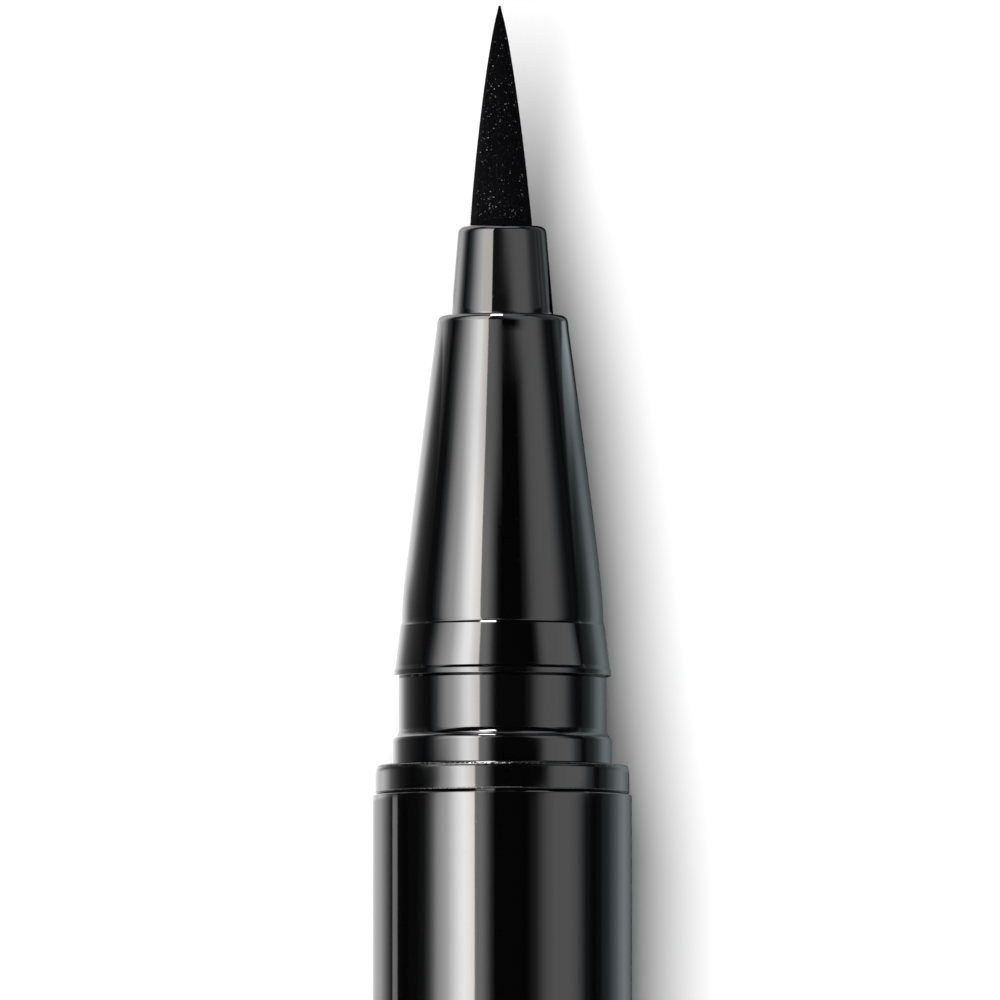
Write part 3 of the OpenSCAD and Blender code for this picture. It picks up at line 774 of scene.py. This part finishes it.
# %% Section with its snap ridge
STEP_R, STEP_FRONT = 4.25, 2.2
NECK_R, NECK_FRONT = 4.025, 4.6
RIDGE_R, RIDGE_TOP_R, RIDGE_FRONT = 4.21, 3.935, 6.6
SPIGOT_R, SPIGOT_BORE, SPIGOT_BACK = 3.76, 2.76, -15.02
SEAL_BACK, SEAL_FRONT, SEAL_R = -1.9, -1.2, 3.26
ROD_BORE, BORE_FRONT = 1.34, 6.0
CONE_BACK_R, CONE_FRONT_R, CONE_LEN, CONE_BEND = 3.9, 2.5, 11.95, 1.5
CONE_TAPER = (CONE_BACK_R - CONE_FRONT_R) / (math.hypot(CONE_LEN, CONE_BEND) - CONE_BEND)


def cone_radius(height):
    """The cone's flank: a straight taper that starts parallel to the axis at the rear edge."""
    return CONE_BACK_R - CONE_TAPER * (math.hypot(height - RIDGE_FRONT, CONE_BEND) - CONE_BEND)


NOZZLE_LEN, CONE_WALL, CONE_GAP = 5.4, 0.55, 0.02
NOZZLE_FRONT = RIDGE_FRONT + NOZZLE_LEN
NOZZLE_R = cone_radius(NOZZLE_FRONT) - CONE_WALL
section = turned("section", [
    (SPIGOT_BACK, SPIGOT_BORE), (SPIGOT_BACK, SPIGOT_R, 0.1), (SEAL_BACK, SPIGOT_R), (SEAL_BACK, SEAL_R),
    (SEAL_FRONT, SEAL_R), (SEAL_FRONT, SPIGOT_R), (COLLAR_LEN, SPIGOT_R),
    # the step ring
    (COLLAR_LEN, STEP_R - 0.03), (COLLAR_LEN + 0.1, STEP_R, 0.01), (STEP_FRONT - 0.14, STEP_R),
    (STEP_FRONT - 0.1, STEP_R), (STEP_FRONT, STEP_R - 0.0435), (STEP_FRONT + 0.02, NECK_R + 0.145),
    (STEP_FRONT + 0.12, NECK_R + 0.067), (STEP_FRONT + 0.155, NECK_R + 0.05),
    # the neck
    (STEP_FRONT + 0.31, NECK_R, 0.02), (NECK_FRONT - 0.1, NECK_R, 0.01), (NECK_FRONT, NECK_R - 0.03),
    # the lip and the snap ridge
    (NECK_FRONT, RIDGE_R - 0.005, 0.02), (NECK_FRONT + 0.2, RIDGE_R - 0.007, 0.02),
    (NECK_FRONT + 0.23, RIDGE_R - 0.018), (NECK_FRONT + 0.33, RIDGE_R - 0.053),
    (NECK_FRONT + 0.37, RIDGE_R - 0.064, 0.02), (RIDGE_FRONT - 0.06, RIDGE_TOP_R + 0.019, 0.015),
    (RIDGE_FRONT, RIDGE_TOP_R - 0.007),
    # the nozzle and the bore
    (RIDGE_FRONT, NOZZLE_R), (NOZZLE_FRONT, NOZZLE_R, 0.1), (NOZZLE_FRONT, ROD_BORE), (BORE_FRONT, ROD_BORE),
    (BORE_FRONT, SPIGOT_BORE)])
fitted(section, "pen", "section_gloss_black", section_gloss, "section_body")

# %% [markdown]
# The front cone is pressed over the section's nozzle. Its flank starts parallel to the axis, a hair lower
# than the ridge's front, and bends into a straight taper. Its front edge is rounded.

# %% Front cone
CONE_FRONT = RIDGE_FRONT + CONE_LEN
CONE_EDGE = 0.28
CONE_BORE = 1.63
flank_steps = 48
flank_end = CONE_LEN - CONE_EDGE
flank = [(RIDGE_FRONT + flank_end * k / flank_steps, cone_radius(RIDGE_FRONT + flank_end * k / flank_steps))
         for k in range(1, flank_steps)]
cone = turned("cone", [
    (RIDGE_FRONT, NOZZLE_R + CONE_GAP), (RIDGE_FRONT, CONE_BACK_R + 0.027),
    (RIDGE_FRONT + 0.085, CONE_BACK_R), *flank,
    (CONE_FRONT, cone_radius(CONE_FRONT - CONE_EDGE / 2), CONE_EDGE), (CONE_FRONT, CONE_BORE, 0.05),
    (NOZZLE_FRONT + CONE_GAP, CONE_BORE), (NOZZLE_FRONT + CONE_GAP, NOZZLE_R + CONE_GAP)])
fitted(cone, "pen", "section_gloss_black", cone_gloss, "front_cone")

# %% [markdown]
# The tip holder is a short ferrule that grips the brush. Its stem goes down into the cone.

# %% Tip holder
HOLDER_FRONT = CONE_FRONT + 3.45
HOLDER_BACK_R, HOLDER_FRONT_R = 1.98, 1.69
STEM_BACK, STEM_R = CONE_FRONT - 4.4, 1.61
BRUSH_BORE = 1.23
ferrule = turned("ferrule", [
    (STEM_BACK, BRUSH_BORE), (STEM_BACK, STEM_R), (CONE_FRONT, STEM_R), (CONE_FRONT, HOLDER_BACK_R, 0.03),
    (HOLDER_FRONT, HOLDER_FRONT_R, 0.27), (HOLDER_FRONT, BRUSH_BORE, 0.04)])
fitted(ferrule, "pen", "section_gloss_black", cone_gloss, "tip_holder")

# %% [markdown]
# The tail plug closes the barrel's rear end, and the cap is pushed on to it. Three low ribs along it grip
# the cap. They repeat round the post, so Geometry Nodes make them: a circle of points, one rib on each.

# %% A helper for growing patterns
def pattern(name, settings):
    """A Geometry Nodes tree with named inputs. Returns the sheet and its inputs as numbers."""
    tree = bpy.data.node_groups.new(name, "GeometryNodeTree")
    kinds = {int: "NodeSocketInt", float: "NodeSocketFloat", tuple: "NodeSocketVector",
             bpy.types.Material: "NodeSocketMaterial", bpy.types.Object: "NodeSocketObject"}
    for label, value in settings.items():
        kind = next(socket for known, socket in kinds.items() if isinstance(value, known))
        tree.interface.new_socket(name=label, in_out="INPUT", socket_type=kind)
    tree.interface.new_socket(name="Geometry", in_out="OUTPUT", socket_type="NodeSocketGeometry")
    sheet = Sheet(tree)
    entry = tree.nodes.new("NodeGroupInput")
    return sheet, {label: Number(sheet, entry.outputs[label]) for label in settings}


def sweep(sheet, line, radius, sides):
    """A closed rod of so many sides along a line."""
    circle = sheet.add("GeometryNodeCurvePrimitiveCircle", values={"Resolution": sides, "Radius": radius})
    return sheet.add("GeometryNodeCurveToMesh", values={
        "Curve": line, "Profile Curve": circle, "Fill Caps": True})


def grow(name, sheet, given, settings, result):
    """Ends a tree, runs it with its settings, and keeps the result as a plain mesh."""
    whole = sheet.add("GeometryNodeRealizeInstances", values={"Geometry": result})
    dressed = sheet.add("GeometryNodeSetMaterial", values={"Geometry": whole, "Material": given["Finish"]})
    end = sheet.tree.nodes.new("NodeGroupOutput")
    sheet.tree.links.new(dressed.socket, end.inputs["Geometry"])
    piece = placed(name, bpy.data.meshes.new(name))
    modifier = piece.modifiers.new(name, "NODES")
    modifier.node_group = sheet.tree
    for socket in sheet.tree.interface.items_tree:
        if socket.in_out == "INPUT":
            modifier[socket.identifier] = settings[socket.name]
    bpy.context.view_layer.update()
    evaluated = piece.evaluated_get(bpy.context.evaluated_depsgraph_get())
    mesh = bpy.data.meshes.new_from_object(evaluated)
    piece.modifiers.clear()
    piece.data = mesh
    mesh.name = name
    print(name, "grown,", len(mesh.polygons), "faces")
    return piece


# %% Tail plug and its ribs
POST_R, POST_END = 4.05, -91.0
POST_FRONT, POST_BORE, POST_WALL = -66.8, 3.15, 0.9
tail_post = turned("tail_post", [
    (POST_END, 0), (POST_END, POST_R, 0.5), (MOUTH, POST_R), (MOUTH, TANK_R, 0.05), (POST_FRONT, TANK_R, 0.1),
    (POST_FRONT, POST_BORE), (POST_END + POST_WALL, POST_BORE), (POST_END + POST_WALL, 0)])
fitted(tail_post, "pen", "shell_gloss_black", shell_gloss, "tail_plug")

RIB_D, RIB_RISE, RIB_LEN, RIB_BACK = 0.5, 0.05, 7.5, 0.5
settings = {
    "Ribs": 3, "Ring radius": (POST_R + RIB_RISE - RIB_D / 2) * MM, "Rib radius": RIB_D / 2 * MM,
    "Rib length": RIB_LEN * MM, "Place": (0.0, along(POST_END + RIB_BACK + RIB_LEN / 2), AXIS_Z),
    "Finish": shell_gloss}
sheet, given = pattern("ribs_round_a_post", settings)
ring = sheet.add("GeometryNodeMeshCircle", values={"Vertices": given["Ribs"], "Radius": given["Ring radius"]})
rib = sheet.add("GeometryNodeMeshCylinder", values={
    "Vertices": 24, "Radius": given["Rib radius"], "Depth": given["Rib length"]})
ribs = sheet.add("GeometryNodeInstanceOnPoints", values={"Points": ring, "Instance": rib})
laid_down = sheet.add("GeometryNodeTransform", values={
    "Geometry": ribs, "Rotation": (math.radians(90), 0, 0), "Translation": given["Place"]})
grip_ribs = grow("grip_ribs", sheet, given, settings, laid_down)
fitted(grip_ribs, "pen", "shell_gloss_black", shell_gloss)

# %% [markdown]
# The cap is a plain tube with a rounded mouth and a small bead inside. A disc closes its end. Inside it
# are the ring that keeps the seal cup in, and the seal cup, which a spring pushes against the cone. Their
# outlines are given as depths from the cap's mouth.

# %% Cap tube and end
CAP_BORE, CAP_DISC, CAP_END = 4.29, 42.41, 43.81
BEAD_R = 4.12
SKIRT_BORE, SKIRT_R, SKIRT_TOP = 3.27, 4.27, 39.41
BOSS_R, BOSS_TOP = 1.875, 41.61


def turned_in_cap(name, corners):
    return turned(name, [(in_cap(depth), *rest) for depth, *rest in corners])


cap_tube = turned_in_cap("cap_tube", [
    (0, CAP_BORE, 0.05), (0, BARREL_R, 0.3), (CAP_DISC, BARREL_R, 0.06), (CAP_DISC, CAP_BORE),
    (3.44, CAP_BORE), (3.24, BEAD_R, 0.05), (3.04, BEAD_R, 0.05), (2.84, CAP_BORE)])
fitted(cap_tube, "cap", "shell_gloss_black", shell_gloss, "cap_shell")
cap_end = turned_in_cap("cap_end", [
    (BOSS_TOP, 0), (BOSS_TOP, BOSS_R, 0.1), (CAP_DISC, BOSS_R), (CAP_DISC, SKIRT_BORE),
    (SKIRT_TOP, SKIRT_BORE, 0.1), (SKIRT_TOP, SKIRT_R, 0.15), (CAP_DISC, SKIRT_R), (CAP_DISC, BARREL_R, 0.04),
    (CAP_END, BARREL_R, 0.45), (CAP_END, 0)])
fitted(cap_end, "cap", "shell_gloss_black", shell_gloss, "cap_end_plug")

# %% [markdown]
# The pieces inside are plain moulded plastic, rubber, fibre and steel. They show only in a cut pen, yet
# each has its own finish: ivory plastic with cloudy flow marks and patches of ink stain, soft
# satin plastic for the seal cup, streaked fibre for the feed, and drawn or polished steel.

# %% Inside finishes
def inside_material(name, colour, stain, rough, grain, stretch=(1, 1, 1), metal=0.0, relief=0.01, cloud=0.35):
    """A finish for the inside: colour, mottled towards a stain, with grain drawn out along a direction."""
    made, sheet = new_material(name)
    soft = sheet.noise(0.35, detail=3.0)
    fine = sheet.noise(grain, detail=3.0, stretch=stretch, roughness=0.6)
    sheet.surface("ShaderNodeBsdfPrincipled", {
        "Base Color": sheet.blend(sheet.step(soft, 0.35, 0.75) * cloud, (*colour, 1), (*stain, 1)),
        "Roughness": rough + 0.15 * (fine - 0.5), "Metallic": metal, "IOR": 1.48,
        "Normal": sheet.bump(fine, relief)})
    return made


ivory = inside_material("moulded_ivory", (0.76, 0.75, 0.71), (0.62, 0.6, 0.55), 0.45, 3.0)
soft_white = inside_material("soft_cup_white", (0.8, 0.79, 0.75), (0.72, 0.7, 0.66), 0.38, 2.0, cloud=0.25)
rubber = inside_material("seal_rubber_black", (0.02, 0.02, 0.021), (0.035, 0.035, 0.036), 0.62, 6.0)
fibre = inside_material("inked_fibre", (0.03, 0.028, 0.027), (0.008, 0.008, 0.009), 0.8, 22.0, (1, 0.03, 1),
                        relief=0.03)
polished = inside_material("polished_ball", (0.62, 0.63, 0.65), (0.5, 0.51, 0.54), 0.16, 5.0,
                           metal=1.0, relief=0.001)
drawn_wire = inside_material("drawn_wire", (0.5, 0.51, 0.53), (0.42, 0.42, 0.45), 0.28, 12.0, (0.2, 1, 0.2),
                             metal=1.0, relief=0.002)

for node, material in {"tank_stopper": ivory, "feed_collector": ivory, "collector_plug": ivory,
                       "section_seal": rubber, "feed_rod": fibre, "mixing_ball": polished}.items():
    nodes[node].material_slots[0].material = material
    print(node, "keeps its CAD shape in", material.name)

# %% Seal ring and seal cup
RING_TOP, RING_BOTTOM, RING_BORE = 13.79, 14.79, 3.28
seal_ring = turned_in_cap("seal_ring", [
    (RING_TOP, RING_BORE, 0.1), (RING_TOP, SKIRT_R, 0.1), (RING_BOTTOM, SKIRT_R, 0.1),
    (RING_BOTTOM, RING_BORE, 0.1)])
fitted(seal_ring, "cap", "inner_white", ivory, "seal_retainer")
CUP_LIP, CUP_THROAT, CUP_FLOOR, CUP_END, CUP_BOSS = 14.81, 16.49, 30.01, 30.61, 0.8
CUP_R, CUP_FLANGE_R, CUP_BORE, CUP_THROAT_R, CUP_MOUTH_R = 3.0, 4.17, 2.3, 2.65, 2.9
cup = turned_in_cap("cup_of_the_seal", [
    (CUP_FLOOR, 0), (CUP_FLOOR, CUP_BORE, 0.3), (CUP_THROAT + 0.35, CUP_BORE, 0.1),
    (CUP_THROAT, CUP_THROAT_R, 0.1), (CUP_LIP + 0.5, CUP_THROAT_R, 0.1), (CUP_LIP, CUP_MOUTH_R, 0.05),
    (CUP_LIP, CUP_FLANGE_R, 0.1), (CUP_LIP + 1, CUP_FLANGE_R, 0.1), (CUP_LIP + 1, CUP_R, 0.15),
    (CUP_END, CUP_R, 0.2), (CUP_END, BOSS_R, 0.1), (CUP_END + CUP_BOSS, BOSS_R, 0.15),
    (CUP_END + CUP_BOSS, 0)])
fitted(cup, "inner_seal", "cup_soft_white", soft_white, "seal_cup")

# %% [markdown]
# The spring is one wire that follows a helix, so Geometry Nodes draw a spiral and sweep a circle along it.
# The cap's end holds one end of it and the seal cup pushes the other.

# %% Cap spring
SPRING_R, WIRE_R, SPRING_RISE, SPRING_TOP = 2.3, 0.225, 11.25, 30.885
settings = {
    "Turns": 7.0, "Coil radius": SPRING_R * MM, "Wire radius": WIRE_R * MM, "Rise": SPRING_RISE * MM,
    "Place": (0.0, along(in_cap(SPRING_TOP)), AXIS_Z), "Finish": drawn_wire}
sheet, given = pattern("wire_on_a_helix", settings)
helix = sheet.add("GeometryNodeCurveSpiral", values={
    "Resolution": 48, "Rotations": given["Turns"], "Start Radius": given["Coil radius"],
    "End Radius": given["Coil radius"], "Height": given["Rise"]})
swept = sweep(sheet, helix, given["Wire radius"], 16)
laid_down = sheet.add("GeometryNodeTransform", values={
    "Geometry": swept, "Rotation": (math.radians(90), 0, 0), "Translation": given["Place"]})
cap_coil = grow("cap_coil", sheet, given, settings, laid_down)
cap_coil.data.shade_smooth()
fitted(cap_coil, "cap", "spring_steel", drawn_wire, "cap_spring")
SEAL_TRAVEL, SPRING_BASE = 1.5, in_cap(CAP_DISC)
along(SPRING_BASE)
1 - SEAL_TRAVEL / (SPRING_RISE + 2 * WIRE_R)
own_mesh(cap_coil)

# %% [markdown]
# The brush is a bundle of fine bristles, wet with ink and drawn together to a point. Its body is one
# turned core. Over it lie tapered strands, which follow the same outline, and tiny flakes for the glints of
# bristle ends and drops of ink: a painted glint, a grey base colour that stands in for the light they catch.
# Strands and specks repeat, so Geometry Nodes make them.

# %% Bristle finish
GRAIN_GREY = (0.014, 0.014, 0.015, 1)
GLINT_DARK, GLINT_LIGHT = (0.012, 0.012, 0.014, 1), (0.3, 0.31, 0.32, 1)
INK_IOR = 1.4

bristle_black, sheet = new_material("inked_bristle_black")
strands = sheet.noise(26.0, detail=3.0, stretch=(1, 0.05, 1), roughness=0.65)
pools = sheet.noise(1.2, detail=2.0, stretch=(1, 0.4, 1))
grain = sheet.step(sheet.noise(17.0, detail=1.0), 0.6, 0.74)
tone = sheet.blend(strands, (*GLOSS_BLACK, 1), lighter(GLOSS_BLACK, 2.2))
sheet.surface("ShaderNodeBsdfPrincipled", {
    "Base Color": sheet.blend(grain, tone, GRAIN_GREY), "Roughness": 0.75 - 0.15 * pools, "IOR": INK_IOR,
    "Specular IOR Level": 0.015, "Normal": sheet.bump(strands, 0.02)})

# painted glint: each speck's brightness is a grey base colour, from near black to light grey at random
glint, sheet = new_material("painted_glint")
shade = sheet.step(sheet.noise(5.0, detail=0.0), 0.25, 0.8) ** 2
sheet.surface("ShaderNodeBsdfPrincipled", {
    "Base Color": sheet.blend(shade, GLINT_DARK, GLINT_LIGHT), "Roughness": 0.55 - 0.2 * shade,
    "IOR": INK_IOR, "Specular IOR Level": 0.1})

# %% Brush core
TIP_R, TIP_LEN, TIP_POWER, TIP_BELLY = 1.21, 8.55, 0.7, 0.12
TIP_END = HOLDER_FRONT + TIP_LEN
SKIN, CORE_SHARE = 0.04, 0.995
TIP_LEAN = -0.1
LEAN_AT_ROOT, LEAN_MORE, LEAN_POWER = 0.35, 0.65, 0.6
ROOT_R, ROOT_BACK = 1.51, STEM_BACK - 0.6
NOSE_BORE, NOSE_END = 0.52, 17.57


def tip_radius(share, widest=TIP_R):
    """The brush's radius at a share of its length, 1 at the holder and 0 at the point."""
    return widest * share ** TIP_POWER * (1 + TIP_BELLY * share * (1 - share))


def leaning(out):
    """The part of the brush's lean that is reached at a share of the way out."""
    return LEAN_AT_ROOT + LEAN_MORE * out ** LEAN_POWER


tip_steps = 60
shares = [1 - k / tip_steps for k in range(tip_steps + 1)]
core_line = [(HOLDER_FRONT + TIP_LEN * (1 - s) * CORE_SHARE, max(tip_radius(s) - SKIN * s ** 0.3, 0))
             for s in shares]
brush_core = turned("brush_core", [
    (ROOT_BACK, NOSE_BORE), (ROOT_BACK, ROOT_R, 0.05), (STEM_BACK, ROOT_R, 0.05), (STEM_BACK, TIP_R - SKIN),
    *core_line, (NOSE_END, 0), (NOSE_END, NOSE_BORE)], around=128)
for vertex in brush_core.data.vertices:
    out = (vertex.co.y - along(HOLDER_FRONT)) / (TIP_LEN * MM)
    if out > 0:
        vertex.co.x += TIP_LEAN * MM * leaning(out)
fitted(brush_core, "pen", "inked_bristle", bristle_black, "brush_tip")

# %% Bristle strands
STRAND_R, STRAND_ROOT = 0.045, 0.5
STRAND_LEN = TIP_LEN + STRAND_ROOT
STRAND_SINK = 1.15
settings = {
    "Strands": 150, "Root": along(HOLDER_FRONT - STRAND_ROOT), "Length": STRAND_LEN * MM,
    "Radius": TIP_R * MM, "Strand radius": STRAND_R * MM, "Lean": TIP_LEAN * MM,
    "Axis": AXIS_Z, "Seed": 7, "Finish": bristle_black}
sheet, given = pattern("strands_on_a_point", settings)
dots = sheet.add("GeometryNodeMeshLine", values={"Count": given["Strands"], "Offset": (0.0, 0.0, 0.0)})
line = sheet.add("GeometryNodeCurvePrimitiveLine", values={"Start": (0.0, 0.0, 0.0), "End": (0.0, MM, 0.0)})
line = sheet.add("GeometryNodeResampleCurve", values={"Curve": line, "Count": 26})
spread = sheet.add("GeometryNodeInstanceOnPoints", values={"Points": dots, "Instance": line})
index = sheet.add("GeometryNodeInputIndex")
named = sheet.add("GeometryNodeStoreNamedAttribute", {"data_type": "FLOAT", "domain": "INSTANCE"},
                  {"Geometry": spread, "Name": "strand", "Value": index})
loose = sheet.add("GeometryNodeRealizeInstances", values={"Geometry": named})
strand = sheet.add("GeometryNodeInputNamedAttribute", {"data_type": "FLOAT"}, {"Name": "strand"})


def chance(sheet, low, high, which, seed):
    """One random number for each strand."""
    return sheet.add("FunctionNodeRandomValue", {"data_type": "FLOAT"},
                     {2: low, 3: high, "ID": which, "Seed": seed}, out=1)


whole = strand.sum("ROUND", strand)
turn = (strand + chance(sheet, -0.45, 0.45, whole, given["Seed"])) * (2 * math.pi) / given["Strands"]
reach = chance(sheet, 0.8, 1.0, whole, given["Seed"] + 1)
way = sheet.add("GeometryNodeSplineParameter") * reach
bare = STRAND_ROOT / STRAND_LEN
share = (1 - ((way - bare) / (1 - bare)).at_least(0.0)).at_least(0.0)
out = (tip_radius(share, given["Radius"]) - given["Strand radius"] * STRAND_SINK).at_least(0.0)
lean = given["Lean"] * leaning(1 - share)
place = sheet.add("ShaderNodeCombineXYZ", values={
    "X": out * turn.sum("SINE", turn) + lean, "Y": given["Root"] + way * given["Length"],
    "Z": out * turn.sum("COSINE", turn) + given["Axis"]})
bent = sheet.add("GeometryNodeSetPosition", values={"Geometry": loose, "Position": place})
thin = sheet.add("GeometryNodeSetCurveRadius", values={"Curve": bent, "Radius": 0.25 + 0.75 * share ** 0.5})
hairs = sweep(sheet, thin, given["Strand radius"], 6)
bristle_strands = grow("bristle_strands", sheet, given, settings, hairs)
bristle_strands.data.shade_smooth()
fitted(bristle_strands, "pen", "inked_bristle", bristle_black)

# %% Specks of light
SPECK_SIZE, SPECK_LIFT, SPECK_SIDE = 0.021, 0.75, 0.84
settings = {
    "Brush": brush_core, "Density": 24e6, "Seed": 3, "Size": SPECK_SIZE * MM,
    "From": along(HOLDER_FRONT + 0.15), "To": along(TIP_END - 0.9), "Finish": glint}
sheet, given = pattern("glints_on_bristles", settings)
body = sheet.add("GeometryNodeObjectInfo", {"transform_space": "ORIGINAL"}, {"Object": given["Brush"]},
                 out="Geometry")
spot = sheet.add("GeometryNodeInputPosition")
level = sheet.add("ShaderNodeSeparateXYZ", values={0: spot}).peer("Y")
sideways = sheet.add("ShaderNodeSeparateXYZ", values={0: sheet.add("GeometryNodeInputNormal")})
# the painted glints go only where the brush faces up or down, none on its left and right flanks
inside = (level > given["From"]) * (level < given["To"]) * (sideways.without_sign() < SPECK_SIDE)
scatter = sheet.add("GeometryNodeDistributePointsOnFaces", {"distribute_method": "RANDOM"},
                    {"Mesh": body, "Selection": inside, "Density": given["Density"], "Seed": given["Seed"]})
turnings = sheet.add("FunctionNodeRandomValue", {"data_type": "FLOAT_VECTOR"},
                     {0: (-0.5, -0.5, -3.1), 1: (0.5, 0.5, 3.1), "Seed": given["Seed"]}, out=0)
tilt = sheet.add("FunctionNodeRotateEuler", {"rotation_type": "EULER", "space": "LOCAL"},
                 {"Rotation": scatter.peer("Rotation"), "Rotate By": turnings})
stretch = sheet.add("FunctionNodeRandomValue", {"data_type": "FLOAT_VECTOR"},
                    {0: (0.35, 0.35, 0.6), 1: (1.2, 1.1, 1.4), "Seed": given["Seed"] + 1}, out=0)
flake = sheet.add("GeometryNodeMeshCylinder", values={
    "Vertices": 6, "Radius": given["Size"], "Depth": given["Size"] * 0.5})
raised = sheet.add("ShaderNodeVectorMath", {"operation": "SCALE"},
                   {0: scatter.peer("Normal"), "Scale": SPECK_LIFT * SKIN * MM})
lifted = sheet.add("GeometryNodeSetPosition", values={"Geometry": scatter, "Offset": raised})
flakes = sheet.add("GeometryNodeInstanceOnPoints", values={
    "Points": lifted, "Instance": flake, "Rotation": tilt, "Scale": stretch})
bristle_glints = grow("bristle_glints", sheet, given, settings, flakes)
fitted(bristle_glints, "pen", "inked_bristle", glint)
